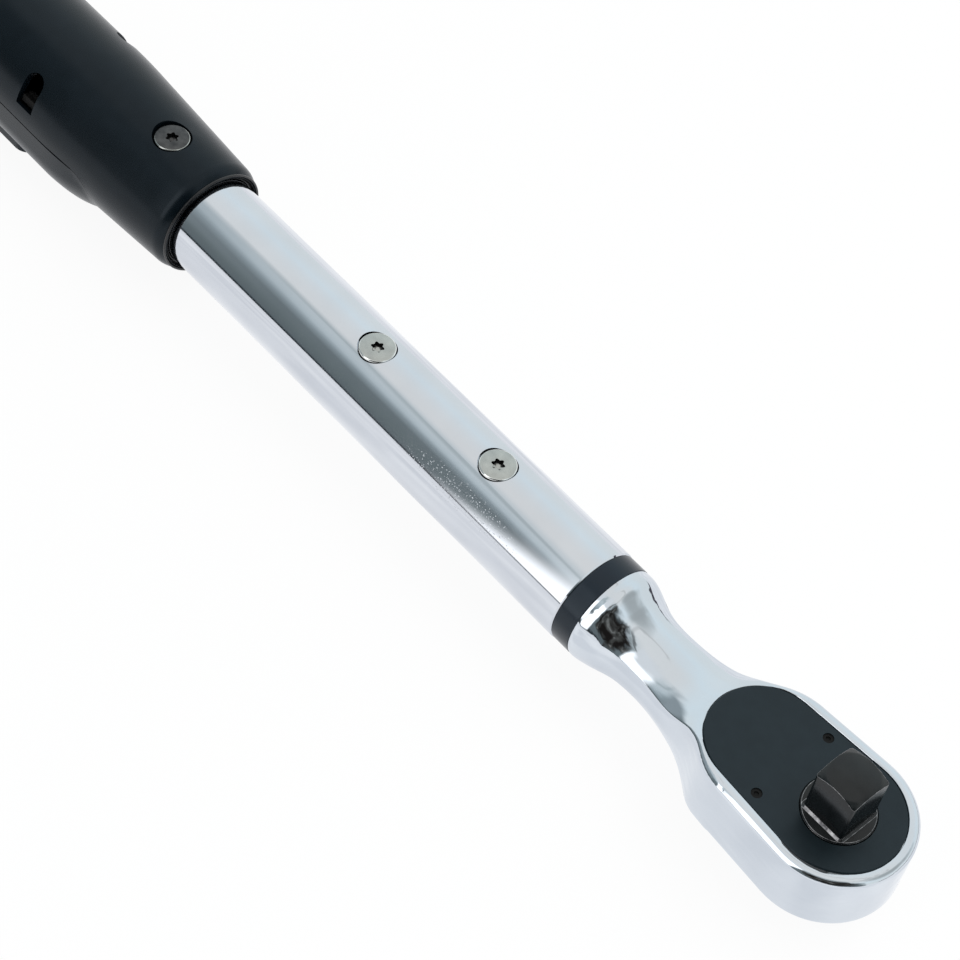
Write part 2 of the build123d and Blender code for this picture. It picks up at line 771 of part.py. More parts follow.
def make_main_tube():
    pipe = tube_piece(tube_front_x, tube_rear_x, tube_radius, tube_bore)
    pipe = chamfer(round_edges(pipe, tube_radius), tube_chamfer)
    cuts = [post(x, 0, 0, tube_radius + 1, tube_screw_head + tube_screw_gap) for x in tube_screw_x]
    cuts += [post(x, 0, 0, tube_radius + 1, housing_screw_shank + press_gap) for x in housing_screw_x]
    cuts.append(post(lead_hole_x, 0, -tube_radius - 1, 0, lead_hole_radius))
    return pipe - cuts


def make_strain_gauges():
    """Two foil gauges on each flat, beside each other across the tool."""
    gauges = []
    for z_low in (gauge_flat_height, -gauge_flat_height - gauge_thickness):
        for along in (-1, 1):
            x = gauge_flat_x - gauge_flat_length / 2 + along * gauge_flat_length / 4
            place = (x, along * gauge_width, z_low, z_low + gauge_thickness)
            gauges.append(slab(*place, gauge_length, gauge_width))
    return gauges


def make_gauge_cable():
    flat_z = -gauge_flat_height - cable_radius
    flat_end_x = gauge_flat_x - gauge_flat_length
    hole_x = lead_hole_x + cable_hole_offset
    points = [
        (flat_end_x + cable_start, 0, flat_z),
        (flat_end_x + cable_bend, 0, flat_z),
        (flat_end_x + cable_drop, 0, cable_z),
        (hole_x, 0, cable_z),
        (hole_x, 0, board_back_z),
    ]
    return wire_along(points, [7.0, 7.0, 1.9], cable_radius)


# Housing


def round_body():
    """Round part of the housing turned about X: lip, slim cone, straight flank, cone of the tail and heel."""
    lip_rear = (housing_front_x - lip_length, housing_radius - lip_drop)
    cone_rear = (lip_rear[0] - cone_length, housing_radius - swell_height)
    slope = (cone_rear[1] - lip_rear[1]) / cone_length
    flank_front = (cone_rear[0] - 2 * swell_height / slope, housing_radius)
    flank_rear = (housing_rear_x + tail_length, housing_radius)
    tail_rear = (housing_rear_x + heel_length, housing_radius - tail_drop)
    mouth = (housing_front_x, mouth_radius + 0.05)
    heel_end = (housing_rear_x, housing_radius - heel_drop)
    outline = [
        TangentArc(lip_rear, mouth, tangent=(1, -slope)),
        Line(lip_rear, cone_rear),
        TangentArc(cone_rear, flank_front, tangent=(-1, slope)),
        Line(flank_front, flank_rear),
        *Polyline(flank_rear, tail_rear, heel_end, (housing_rear_x, 0), (housing_front_x, 0), mouth).edges(),
    ]
    return revolve(make_face(outline), Axis.X)


# x, half width, face depth and corner radius of the display side
cover_stations = [
    (housing_front_x - 27.5, cover_half_width - 2.8, cover_face_z + 2.2, 17.0),
    (housing_front_x - 31.5, cover_half_width - 1.65, cover_face_z + 1.1, 16.9),
    (housing_front_x - 36.5, cover_half_width - 0.95, cover_face_z + 0.55, 14.9),
    (housing_front_x - 42.0, cover_half_width - 0.4, cover_face_z + 0.2, 13.9),
    (housing_front_x - 47.0, cover_half_width - 0.1, cover_face_z + 0.04, 13.5),
    (housing_front_x - 51.5, cover_half_width, cover_face_z, cover_corner),
]
cover_rear_stations = [
    (housing_rear_x + 24.0, cover_half_width, cover_face_z, cover_corner),
    (housing_rear_x + 15.0, cover_half_width - 0.7, cover_face_z + 0.6, 14.2),
    (housing_rear_x + 8.0, cover_half_width - 2.2, cover_face_z + 1.7, 15.6),
    (housing_rear_x + 3.0, cover_half_width - 4.2, cover_face_z + 3.6, 15.2),
]


def belly_section(x, half, low, corner):
    """U-shaped section of the display side, closed at the height of the tool's axis."""
    slope = corner * (1 - math.sqrt(0.5))
    outline = [
        Line((half, 0), (half, low + corner)),
        ThreePointArc((half, low + corner), (half - slope, low + slope), (half - corner, low)),
        Line((half - corner, low), (corner - half, low)),
        ThreePointArc((corner - half, low), (slope - half, low + slope), (-half, low + corner)),
        Line((-half, low + corner), (-half, 0)),
        Line((-half, 0), (half, 0)),
    ]
    return across_tool(x) * make_face(outline).face()


def belly():
    """Display side of the housing, lofted from its sections."""
    front = loft([belly_section(*station) for station in cover_stations])
    middle_x = (cover_stations[-1][0], cover_rear_stations[0][0])
    middle = loft([belly_section(x, *cover_rear_stations[0][1:]) for x in middle_x], ruled=True)
    rear = loft([belly_section(*station) for station in cover_rear_stations])
    return front + [middle, rear]


def deck():
    """Raised deck that carries the display and the keys."""
    body = slab(deck_middle_x, 0, deck_z, -tube_radius, deck_length, 2 * deck_half_width, deck_corner)
    return chamfer(bottom_face(body).edges(), deck_edge)


def housing_cavity():
    """Room inside the housing: a turned bore, the belly's inside and the room under the deck."""
    bore = turned_about_x([
        (ring_front_x, 0),
        (ring_front_x, wall_inside - bore_front_drop),
        (ring_front_x - bore_front_length, wall_inside),
        (ring_rear_x + bore_rear_length, wall_inside),
        (ring_rear_x, wall_inside - bore_rear_drop),
        (ring_rear_x, 0),
    ])
    inside = (cover_inner_half, cover_face_z + housing_wall, cover_corner - housing_wall)
    trough_x = (cover_stations[-1][0] - housing_wall, cover_rear_stations[0][0] + housing_wall)
    trough = loft([belly_section(x, *inside) for x in trough_x], ruled=True)
    length = deck_length - 2 * housing_wall
    width = 2 * (deck_half_width - housing_wall)
    under_deck = slab(deck_middle_x, 0, deck_inner_z, 0, length, width, deck_corner - housing_wall)
    return bore + [trough, under_deck]


def parting_block(gap):
    """Region of the display cover, seen from the side: straight seam with a rounded nose."""
    front = parting_nose_x - gap
    rear = ring_rear_x + gap
    start = (front - parting_round, -gap)
    nose = (front, parting_nose_z)
    deep = -3 * housing_radius
    outline = [
        Line((rear, -gap), start),
        Bezier(start, (front - parting_round * 0.35, -gap), (front, parting_nose_z * 0.45), nose),
        *Polyline(nose, (front, deep), (rear, deep), (rear, -gap)).edges(),
    ]
    face = make_face([Plane.XZ * edge for edge in outline])
    return extrude(face, 3 * housing_radius, both=True)


def latch_window(x, side):
    """Window for a snap hook: square at the low end, round at the high end."""
    half_angle = (window_low_angle - window_high_angle) / 2
    half_chord = housing_radius * math.sin(math.radians(half_angle))
    round_radius = window_width / 2
    outline = Pos(0, -round_radius / 2) * Rectangle(window_width, 2 * half_chord - round_radius)
    outline += Pos(0, half_chord - round_radius) * Circle(round_radius)
    height, outward = polar(1, window_high_angle + half_angle)
    plane = Plane(origin=(x, 0, 0), x_dir=(side, 0, 0), z_dir=(0, side * outward, height))
    if plane.y_dir.Z < 0:
        outline = Rot(0, 0, 180) * outline
    return extrude(plane.offset(tube_radius + 1) * outline, housing_radius)


def make_shells():
    """The two halves of the housing, cut from one hollow body."""
    outside = round_body() + [belly(), deck()]
    hollow = outside - [
        housing_cavity(),
        rod(housing_front_x + 1, housing_rear_x - 1, tube_radius + slide_gap),
        rod(housing_front_x + 1, housing_front_x - mouth_depth, mouth_radius),
    ]
    return make_rear_shell(hollow), make_display_cover(hollow)


def make_rear_shell(hollow):
    """Drive-side half, with closed rings at both ends, two ribs, four windows and two screw seats."""
    ribs = []
    above_seam = seam_lip_height + 1.0 + 2 * housing_radius
    for x in rib_x:
        rib = tube_piece(x + rib_thickness / 2, x - rib_thickness / 2, wall_inside + 0.6, tube_radius + slide_gap)
        keep = Box(2 * rib_thickness, 4 * housing_radius, 4 * housing_radius)
        ribs.append(rib & Pos(x, 0, above_seam) * keep)
    cuts = [latch_window(x, side) for x in window_x for side in (1, -1)]
    for x, top in zip(housing_screw_x, housing_screw_top):
        seat_z = top - housing_screw_head_height
        cuts.append(post(x, 0, seat_z, 2 * housing_radius, housing_recess_radius))
        cuts.append(post(x, 0, 0, seat_z, housing_screw_shank + slide_gap))
    return (hollow - parting_block(0) + ribs) - cuts


def seam_lips():
    """Two lips that stand behind the seam and line up the shells, each with its root in the wall."""
    middle = sum(window_x) / 2
    length = window_x[0] - window_x[1] - 2 * window_width
    lips = []
    for side in (1, -1):
        lip_y = side * (cover_inner_half - 2 * slide_gap - seam_lip_thickness / 2)
        lips.append(Pos(middle, lip_y, 0) * Box(length, seam_lip_thickness, 2 * seam_lip_height))
        root_y = side * (cover_inner_half - seam_lip_thickness / 2 + slide_gap)
        root = Box(length, seam_lip_thickness + 2 * slide_gap, 1.8 * seam_lip_height)
        lips.append(Pos(middle, root_y, -1.1 * seam_lip_height) * root)
    return lips


def make_display_cover(hollow):
    """Display-side half, with its snap hooks, seam lips, board bosses and openings."""
    added = [snap_hook(x, side) for x in window_x for side in (1, -1)] + seam_lips()
    added += [post(x, y, deck_inner_z - 0.5, board_front_z, board_boss_radius) for x, y in board_screw_places()]
    outside = deck_z - 1
    through = deck_inner_z + 1
    lens_seat = (lens_length + 2 * slide_gap, lens_width + 2 * slide_gap, lens_corner)
    lens_window = (lens_length - 2 * window_ledge, lens_width - 2 * window_ledge)
    key_hole = (key_length + 2 * slide_gap, key_width + 2 * slide_gap, key_corner)
    screw_hole_low = deck_inner_z - board_screw_depth / 2
    cuts = [
        slab(lens_x, 0, outside, lens_bottom_z, *lens_seat),
        slab(lens_x, 0, outside, through, *lens_window),
        slab(key_well_x, 0, outside, key_deck_z, key_well_length, key_well_width, key_corner),
    ]
    cuts += [slab(x, y, outside, through, *key_hole) for x, y in key_places()]
    cuts += [post(light_x, y, outside, through, light_radius + press_gap) for y in light_places()]
    cuts += [
        post(x, y, screw_hole_low, board_front_z + 1, board_screw_radius + press_gap)
        for x, y in board_screw_places()
    ]
    return (hollow & parting_block(seam_gap)) + added - cuts


def snap_hook(x, side):
    """Tongue that rises inside the shell, with a nose that catches the window."""
    front = x + hook_width / 2
    rear = x - hook_width / 2
    outer = wall_inside - hook_gap
    inner = outer - hook_thickness

    def sector(low_angle, high_angle):
        """Wedge between two angles measured from +Z towards the given side."""
        corners = [(0, 0)]
        for angle in (low_angle, high_angle):
            height, outward = polar(3 * housing_radius, angle)
            corners.append((side * outward, height))
        return extrude(across_tool(x - hook_width) * make_face(Polyline(*corners, close=True)), 2 * hook_width)

    tongue = tube_piece(front, rear, outer, inner)
    tongue &= sector(window_low_angle - hook_reach_angle, hook_root_angle)
    foot = tube_piece(front, rear, wall_inside + 0.5, inner) & sector(hook_foot_angle, hook_root_angle)
    nose = tube_piece(front, rear, housing_radius - 0.5, inner)
    nose &= sector(window_low_angle - hook_reach_angle + 2, window_low_angle - 1)
    return tongue + [foot, nose]


def key_places():
    signs = [(1, 1), (1, -1), (-1, 1), (-1, -1)]
    return [(key_well_x + along * key_pitch_x / 2, across * key_pitch_y / 2) for along, across in signs]


def light_places():
    return [-light_pitch, 0.0, light_pitch]


def board_screw_places():
    inset = board_inset + board_screw_head
    y = deck_half_width - inset - 0.4
    return [(x, side * y) for x in (deck_front_x - inset, deck_rear_x + inset) for side in (1, -1)]


def make_housing_screws():
    screws = []
    for x, top in zip(housing_screw_x, housing_screw_top):
        length = top - housing_screw_head_height - tube_bore + housing_screw_bite
        sizes = (housing_screw_head, housing_screw_head_height, housing_screw_shank, length)
        screws.append(lobed_screw(x, top, *sizes))
    return screws


def make_mouth_seal():
    outer = mouth_radius - press_gap
    seal = tube_piece(housing_front_x - 0.4, housing_front_x - mouth_depth, outer, tube_radius + press_gap)
    return chamfer(sorted(round_edges(seal, outer), key=lambda e: e.center().X)[-1], 0.3)


def make_display_lens():
    lens = slab(lens_x, 0, lens_top_z, lens_bottom_z, lens_length, lens_width, lens_corner - slide_gap)
    return chamfer(bottom_face(lens).edges(), lens_edge)


def make_lcd_panel():
    length = lens_length - 1.0
    width = lens_width - 2.4
    return slab(lens_x, 0, lcd_front_z, lcd_front_z + lcd_thickness, length, width)


def make_main_board():
    length = deck_length - 2 * board_inset
    width = 2 * (deck_half_width - board_inset)
    board = slab(deck_middle_x, 0, board_front_z, board_back_z, length, width, 1.0)
    holes = [
        post(x, y, board_front_z - 1, board_back_z + 1, board_screw_radius + slide_gap)
        for x, y in board_screw_places()
    ]
    return board - holes


def make_board_screws():
    screws = []
    head_high = board_back_z + board_screw_head_height
    for x, y in board_screw_places():
        screw = post(x, y, board_back_z, head_high, board_screw_head)
        screws.append(screw + post(x, y, board_front_z - board_screw_depth, board_back_z, board_screw_radius))
    return screws


def make_key_switches():
    return [slab(x, y, switch_top_z, board_front_z, switch_size, switch_size) for x, y in key_places()]


def make_button(x, y):
    """Key cap that rises through the deck, with a flange that keeps it in and a stalk on its switch."""
    flange_low = deck_inner_z + slide_gap
    cap = slab(x, y, key_top_z, flange_low, key_length, key_width, key_corner - slide_gap)
    cap = chamfer(bottom_face(cap).edges(), key_edge)
    flange = slab(
        x, y, flange_low, flange_low + key_flange_height,
        key_length + 2 * key_flange, key_width + 2 * key_flange, key_corner,
    )
    stalk = post(x, y, flange_low, switch_top_z - key_travel - switch_gap, key_stalk)
    return cap + [flange, stalk]


def make_buzzer():
    return post(buzzer_x, buzzer_y, board_back_z, board_back_z + buzzer_height, buzzer_radius)


def make_light_pipes():
    pipes = []
    for y in light_places():
        pipe = post(light_x, y, deck_z + light_sunk, board_front_z, light_radius)
        pipes.append(chamfer(pipe.edges().sort_by(Axis.Z)[0], 0.25))
    return pipes


# Handle and batteries


def make_grip_sleeve():
    """Rubber sleeve with shallow turned grooves."""
    sleeve = tube_piece(grip_front_x, grip_front_x - grip_length, grip_radius, tube_radius + press_gap)
    sleeve = chamfer(round_edges(sleeve, grip_radius), grip_edge)
    pitch = (grip_length - 2 * grip_groove_inset) / (grip_groove_count - 1)
    grooves = []
    for i in range(grip_groove_count):
        x = grip_front_x - grip_groove_inset - i * pitch
        grooves.append(turned_about_x([
            (x - grip_groove_width, grip_radius + 0.01),
            (x, grip_radius - grip_groove_depth),
            (x + grip_groove_width, grip_radius + 0.01),
        ]))
    return sleeve - grooves


def make_battery_tube():
    """Liner: a thin tube, closed at the front round a hole, with three flanges in the steel tube."""
    front = liner_front_x
    liner = tube_piece(front, cell_rear_x, liner_bore + liner_wall, liner_bore)
    face = tube_piece(front, cell_front_x, liner_bore + liner_wall / 2, liner_mouth)
    flange_fronts = (front, (front + cell_rear_x + liner_flange) / 2, cell_rear_x + liner_flange)
    root = liner_bore + liner_wall / 2
    flanges = [tube_piece(x, x - liner_flange, liner_radius, root) for x in flange_fronts]
    return liner + [face, *flanges]


def make_cell(x_high):
    """Cylindrical cell with its raised terminal towards the head."""
    body_front = x_high - cell_tip_height
    body = rod(body_front, body_front - cell_length, cell_radius)
    body = chamfer(round_edges(body, cell_radius), cell_edge)
    return body + rod(x_high, body_front, cell_tip_radius)


def make_front_contact():
    """Contact disc on the liner's face, with a button that reaches the first cell."""
    disc = rod(liner_front_x + contact_thickness, liner_front_x, liner_bore)
    return disc + rod(liner_front_x, cell_front_x, contact_button)


def make_battery_leads():
    leads = []
    start_x = liner_front_x + contact_thickness
    low_z = cable_z + lead_radius
    end_x = lead_hole_x - lead_spread
    for y in (lead_spread, -lead_spread):
        points = [
            (start_x, y, lead_start_z),
            (start_x + lead_run, y, lead_start_z),
            (start_x + lead_run + lead_drop, y, low_z),
            (end_x, 0.8 * y, low_z),
            (end_x, 0.8 * y, board_back_z),
        ]
        leads.append(wire_along(points, [9.0, 14.0, 1.9], lead_radius))
    return leads


def make_battery_cap():
    """End cap with scallops round it, a coin slot and a hollow spigot with a ring groove."""
    body = rod(cap_front_x, cap_rear_x, cap_radius)
    rims = sorted(round_edges(body, cap_radius), key=lambda e: e.center().X)
    body = chamfer(rims[0], cap_edge)
    spigot_radius = tube_bore - slide_gap
    spigot_front = cap_front_x + cap_spigot_length
    spigot = rod(spigot_front, cap_front_x, spigot_radius)
    spigot = chamfer(spigot.edges().sort_by(Axis.X)[-1], 0.6)
    groove_front = cap_ring_x + cap_ring_section
    groove_rear = cap_ring_x - cap_ring_section
    scallop = Rot(0, 90, 0) * Cylinder(cap_scallop_radius, cap_scallop_length)
    scallop_reach = cap_radius + cap_scallop_radius - cap_scallop_bite
    cuts = [
        tube_piece(groove_front, groove_rear, tube_bore + 1, tube_bore - 2 * cap_ring_section),
        rod(spigot_front + 1, cap_seat_x, spigot_radius - cap_spigot_wall),
        Pos(cap_rear_x, 0, 0) * Box(2 * coin_slot_depth, coin_slot_length, coin_slot_width),
    ]
    for i in range(cap_scallop_count):
        y, z = polar(scallop_reach, 360 / cap_scallop_count * (i + 0.5))
        cuts.append(Pos((cap_front_x + cap_rear_x) / 2, y, z) * scallop)
    return body + spigot - cuts


def make_cap_o_ring():
    """Seal ring in the spigot's groove, with a plain six-sided section."""
    section = cap_ring_section - cap_ring_slack
    middle = tube_bore - cap_ring_section
    points = [polar(section, 60 * i) for i in range(6)]
    return turned_about_x([(cap_ring_x + x, middle + r) for x, r in points])


def make_cap_spring():
    """Coil on a thin disc that sits on the floor of the spigot."""
    start = cap_disc_thickness + cap_wire - weld_sink
    span = cap_spring_length - press_gap - start - cap_wire
    spring = coil(cap_coil_radius, cap_wire, span / cap_turns, cap_turns)
    disc = Pos(0, 0, cap_disc_thickness / 2) * Cylinder(cap_disc_radius, cap_disc_thickness)
    return Pos(cap_seat_x, 0, 0) * Rot(0, 90, 0) * (disc + Pos(0, 0, start) * spring)


def main():
    shell, cover = make_shells()
    pieces = {
        "ratchet_head": make_ratchet_head(),
        "cover_plate": make_cover_plate(),
        "cover_screws": make_cover_screws(),
        "drive_gear": make_drive_gear(),
        "detent_ball": make_detent_ball(),
        "detent_spring": make_detent_spring(),
        "pawl": make_pawl(),
        "pawl_pin": make_pawl_pin(),
        "pawl_plunger": make_plunger(),
        "plunger_spring": make_plunger_spring(),
        "reverse_lever": make_reverse_lever(),
        "lever_clip": make_lever_clip(),
        "trim_ring": make_trim_ring(),
        "main_tube": make_main_tube(),
        "tube_screws": make_tube_screws(),
        "strain_gauges": make_strain_gauges(),
        "gauge_cable": make_gauge_cable(),
        "rear_shell": shell,
        "display_cover": cover,
        "housing_screws": make_housing_screws(),
        "mouth_seal": make_mouth_seal(),
        "display_lens": make_display_lens(),
        "lcd_panel": make_lcd_panel(),
        "main_board": make_main_board(),
        "board_screws": make_board_screws(),
        "key_switches": make_key_switches(),
        "buzzer": make_buzzer(),
        "light_pipes": make_light_pipes(),
        "grip_sleeve": make_grip_sleeve(),
        "battery_tube": make_battery_tube(),
        "front_battery": make_cell(cell_front_x),
        "rear_battery": make_cell(cell_front_x - cell_pitch),
        "front_contact": make_front_contact(),
        "battery_leads": make_battery_leads(),
        "battery_cap": make_battery_cap(),
        "cap_o_ring": make_cap_o_ring(),
        "cap_spring": make_cap_spring(),
    }
    button_names = ("button_power", "button_mode", "button_up", "button_down")
    for name, place in zip(button_names, key_places()):
        pieces[name] = make_button(*place)
    for name, piece in pieces.items():
        shape = Compound(children=piece) if isinstance(piece, list) else piece
        export_step(shape, f"parts/{name}.step")


main()
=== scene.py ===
# %% [markdown]
# # A digital torque wrench, dressed in Blender
#
# The wrench arrives as a set of plain solids in one shared frame. This lesson gives them their
# look: a chromed head and tube, a black oxide drive square, a satin black housing and a rubber
# grip. Every piece stays where its solid is, so the first step is to load the frame and to note
# how big the object is before anything is added.

import json
import math

import bmesh
import bpy
from mathutils import Matrix, Vector


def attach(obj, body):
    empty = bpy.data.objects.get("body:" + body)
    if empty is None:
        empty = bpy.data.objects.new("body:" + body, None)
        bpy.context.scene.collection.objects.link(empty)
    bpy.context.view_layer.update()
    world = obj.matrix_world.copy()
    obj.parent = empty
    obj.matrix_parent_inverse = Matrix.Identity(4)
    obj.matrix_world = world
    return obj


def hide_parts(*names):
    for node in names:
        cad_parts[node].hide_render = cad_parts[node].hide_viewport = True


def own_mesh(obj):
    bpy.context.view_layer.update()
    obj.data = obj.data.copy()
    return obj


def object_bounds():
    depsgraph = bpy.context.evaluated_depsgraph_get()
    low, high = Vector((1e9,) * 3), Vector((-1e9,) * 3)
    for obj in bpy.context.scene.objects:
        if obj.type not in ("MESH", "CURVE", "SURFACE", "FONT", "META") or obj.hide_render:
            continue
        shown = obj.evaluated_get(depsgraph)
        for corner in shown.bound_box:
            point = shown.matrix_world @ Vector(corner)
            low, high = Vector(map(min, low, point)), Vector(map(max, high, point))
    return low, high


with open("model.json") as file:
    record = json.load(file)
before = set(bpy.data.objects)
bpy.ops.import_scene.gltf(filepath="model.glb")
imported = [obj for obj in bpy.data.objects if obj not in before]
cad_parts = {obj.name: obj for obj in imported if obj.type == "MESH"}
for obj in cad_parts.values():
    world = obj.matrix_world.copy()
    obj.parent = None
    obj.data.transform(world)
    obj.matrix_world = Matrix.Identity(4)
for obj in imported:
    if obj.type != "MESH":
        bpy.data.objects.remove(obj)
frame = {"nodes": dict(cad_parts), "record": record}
solids = frame["nodes"]
record = frame["record"]
cad_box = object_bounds()
MM = 0.001
print(len(solids), "solids, box", cad_box)

# %% [markdown]
# ## The camera
#
# The photograph was taken from above the drive side, with the head nearest to the lens. A camera
# in Blender looks along its own -Z with +Y up. Three unit vectors, the picture's right, its down
# and the line of sight, are therefore all that is needed to turn it, and they become the columns
# of its matrix. A long lens keeps the tube's sides nearly parallel, as they are in the photograph.

# %% Place the camera
camera_place = Vector((138.36, -335.50, 555.02)) * MM
picture_right = Vector((0.6600, 0.7399, 0.1301))
picture_down = Vector((0.6469, -0.4717, -0.5991))
line_of_sight = Vector((-0.3820, 0.4796, -0.7900))

camera_data = bpy.data.cameras.new("camera")
camera_data.lens = 100.9
camera_data.sensor_width = 36.0
camera_data.clip_start = 0.01
camera = bpy.data.objects.new("camera", camera_data)
bpy.context.scene.collection.objects.link(camera)
turn = Matrix((picture_right, -picture_down, -line_of_sight)).transposed()
camera.matrix_world = Matrix.Translation(camera_place) @ turn.to_4x4()
bpy.context.scene.camera = camera
bpy.context.scene.view_settings.view_transform = "Standard"
print("camera at", [round(v, 3) for v in camera_place], "lens", camera_data.lens)

# %% [markdown]
# ## Node helpers
#
# All the finishes below are node trees. A few small helpers keep them short: one adds a node and
# sets its inputs, one starts a material with its surface shader, and the others give a noise, a
# colour ramp, a range of numbers and a bump.


# %% Helpers for node trees
def add_node(tree, kind, **inputs):
    """Add a shader node and set inputs by name."""
    node = tree.nodes.new(kind)
    for name, value in inputs.items():
        node.inputs[name.replace("_", " ")].default_value = value
    return node


def start_material(name, roughness, metallic=0.0, specular=0.5):
    """A material with a Principled surface; returns the material, its tree and the shader."""
    material = bpy.data.materials.new(name)
    material.use_nodes = True
    tree = material.node_tree
    tree.nodes.clear()
    out = tree.nodes.new("ShaderNodeOutputMaterial")
    shader = tree.nodes.new("ShaderNodeBsdfPrincipled")
    shader.inputs["Roughness"].default_value = roughness
    shader.inputs["Metallic"].default_value = metallic
    shader.inputs["Specular IOR Level"].default_value = specular
    tree.links.new(shader.outputs["BSDF"], out.inputs["Surface"])
    return material, tree, shader


def noise(tree, scale, detail=2.0, stretch=(1.0, 1.0, 1.0)):
    """Noise in the object's own coordinates, its features about 1/scale metres wide."""
    place = tree.nodes.new("ShaderNodeTexCoord")
    mapping = add_node(tree, "ShaderNodeMapping", Scale=stretch)
    texture = add_node(tree, "ShaderNodeTexNoise", Scale=scale, Detail=detail)
    tree.links.new(place.outputs["Object"], mapping.inputs["Vector"])
    tree.links.new(mapping.outputs["Vector"], texture.inputs["Vector"])
    return texture.outputs["Fac"]


def ramp(tree, factor, stops):
    """Colour ramp through (position, colour) stops."""
    node = tree.nodes.new("ShaderNodeValToRGB")
    elements = node.color_ramp.elements
    while len(elements) < len(stops):
        elements.new(0.5)
    for element, (position, colour) in zip(elements, stops):
        element.position = position
        element.color = (*colour, 1.0)
    tree.links.new(factor, node.inputs["Fac"])
    return node.outputs["Color"]


def two_tone(tree, factor, dark, light):
    """From one tint to another over 0.3 to 0.7, where most values of a noise lie."""
    return ramp(tree, factor, [(0.3, dark), (0.7, light)])


def spread(tree, factor, low, high):
    """Map a 0..1 factor to a range of numbers."""
    node = add_node(tree, "ShaderNodeMapRange", To_Min=low, To_Max=high)
    tree.links.new(factor, node.inputs["Value"])
    return node.outputs["Result"]


def bump(tree, shader, height, distance):
    """Drive the shader's normal from a height, the distance in metres."""
    node = add_node(tree, "ShaderNodeBump", Distance=distance, Strength=1.0)
    tree.links.new(height, node.inputs["Height"])
    tree.links.new(node.outputs["Normal"], shader.inputs["Normal"])


print("helpers ready")

# %% [markdown]
# ## Light
#
# Chrome shows its surroundings more than itself, so the room matters as much as the finish. Along
# the tube, the photograph runs from a bright ceiling through a dark band to the white table, and
# near the ring a white streak lies on that band. A picture of a room could be wrapped round the
# scene, or real walls could be built. A world shader is chosen, because each soft shape in it can
# be moved by a few numbers until the chrome shows it in the right place.
#
# In a world shader, Generated coordinates are the direction of the ray. Its parts tell how high
# the ray looks (z), whether it looks to the near side (-y), and how far along (x). The helpers
# turn these into masks with soft edges, and blend colours by the masks.


# %% Helpers for the world
def blend(tree, factor, first, second):
    """Mix two colours by a factor."""
    node = tree.nodes.new("ShaderNodeMix")
    node.data_type = "RGBA"
    tree.links.new(factor, node.inputs["Factor"])
    for socket, source in ((node.inputs["A"], first), (node.inputs["B"], second)):
        if isinstance(source, tuple):
            socket.default_value = (*source, 1.0)
        else:
            tree.links.new(source, socket)
    return node.outputs["Result"]


def smooth_step(tree, value, start, end):
    """0 before the start, 1 past the end, eased between; the end may be the lower one."""
    node = add_node(tree, "ShaderNodeMapRange", From_Min=start, From_Max=end)
    node.interpolation_type = "SMOOTHSTEP"
    tree.links.new(value, node.inputs["Value"])
    return node.outputs["Result"]


def nearness(tree, direction, towards):
    """Cosine of the angle between the ray and a fixed direction."""
    node = tree.nodes.new("ShaderNodeVectorMath")
    node.operation = "DOT_PRODUCT"
    node.inputs[1].default_value = Vector(towards).normalized()
    tree.links.new(direction, node.inputs[0])
    return node.outputs["Value"]


def combine(tree, operation, first, second):
    """One math node; the second term may be a number."""
    node = tree.nodes.new("ShaderNodeMath")
    node.operation = operation
    tree.links.new(first, node.inputs[0])
    if isinstance(second, (int, float)):
        node.inputs[1].default_value = second
    else:
        tree.links.new(second, node.inputs[1])
    return node.outputs["Value"]


def overlap(tree, *masks):
    """Where all masks are 1: their product."""
    result = masks[0]
    for mask in masks[1:]:
        result = combine(tree, "MULTIPLY", result, mask)
    return result


print("world helpers ready")

# %% [markdown]
# The first layer is a pale room with a dim wall on its near side. That wall gives the tube its
# dark band. Over its height it runs from a near-black line, where it meets the table, through grey
# to a pale top with one thin darker line in it. Far to the left its upper part is an even grey,
# which lightens the band beside the housing.

# %% The ceiling and the dim wall
world = bpy.data.worlds.new("studio")
world.use_nodes = True
bpy.context.scene.world = world
tree = world.node_tree
tree.nodes.clear()
ray = tree.nodes.new("ShaderNodeTexCoord").outputs["Generated"]
parts = tree.nodes.new("ShaderNodeSeparateXYZ")
tree.links.new(ray, parts.inputs["Vector"])
along = parts.outputs["X"]
across = parts.outputs["Y"]
height = parts.outputs["Z"]

ceiling = ramp(tree, height, [
    (0.30, (0.90, 0.95, 0.95)),
    (0.62, (0.89, 0.98, 1.01)),
    (0.92, (0.92, 0.922, 0.905)),
])
dim_wall = ramp(tree, height, [
    (0.00, (0.02, 0.03, 0.035)),
    (0.04, (0.03, 0.04, 0.045)),
    (0.08, (0.15, 0.18, 0.19)),
    (0.30, (0.17, 0.205, 0.21)),
    (0.58, (0.19, 0.225, 0.235)),
    (0.70, (0.34, 0.40, 0.42)),
    (0.78, (0.60, 0.675, 0.70)),
    (0.85, (0.68, 0.745, 0.765)),
    (0.875, (0.50, 0.56, 0.57)),
    (0.90, (0.76, 0.81, 0.82)),
    (1.00, (0.915, 0.91, 0.895)),
])
even_grey = (0.34, 0.39, 0.41)
far_left = smooth_step(tree, along, start=-0.44, end=-0.62)
upper_part = smooth_step(tree, height, start=0.25, end=0.50)
dim_wall = blend(tree, overlap(tree, far_left, upper_part), dim_wall, even_grey)
near_side = smooth_step(tree, nearness(tree, ray, (0, -1, 0)), start=0.0, end=0.22)
room = blend(tree, near_side, ceiling, dim_wall)
print("room with", len(tree.nodes), "nodes")

# %% [markdown]
# The polished neck and the rim of the head mirror smaller things. A soft grey patch lies opposite
# the collar. One thin line runs where the far wall meets the table, and another crosses high up.
# A ragged dark patch lies on the side from which the picture is taken. A noise over the direction
# of the ray breaks its edge and its tone, because a clean disc would look drawn.

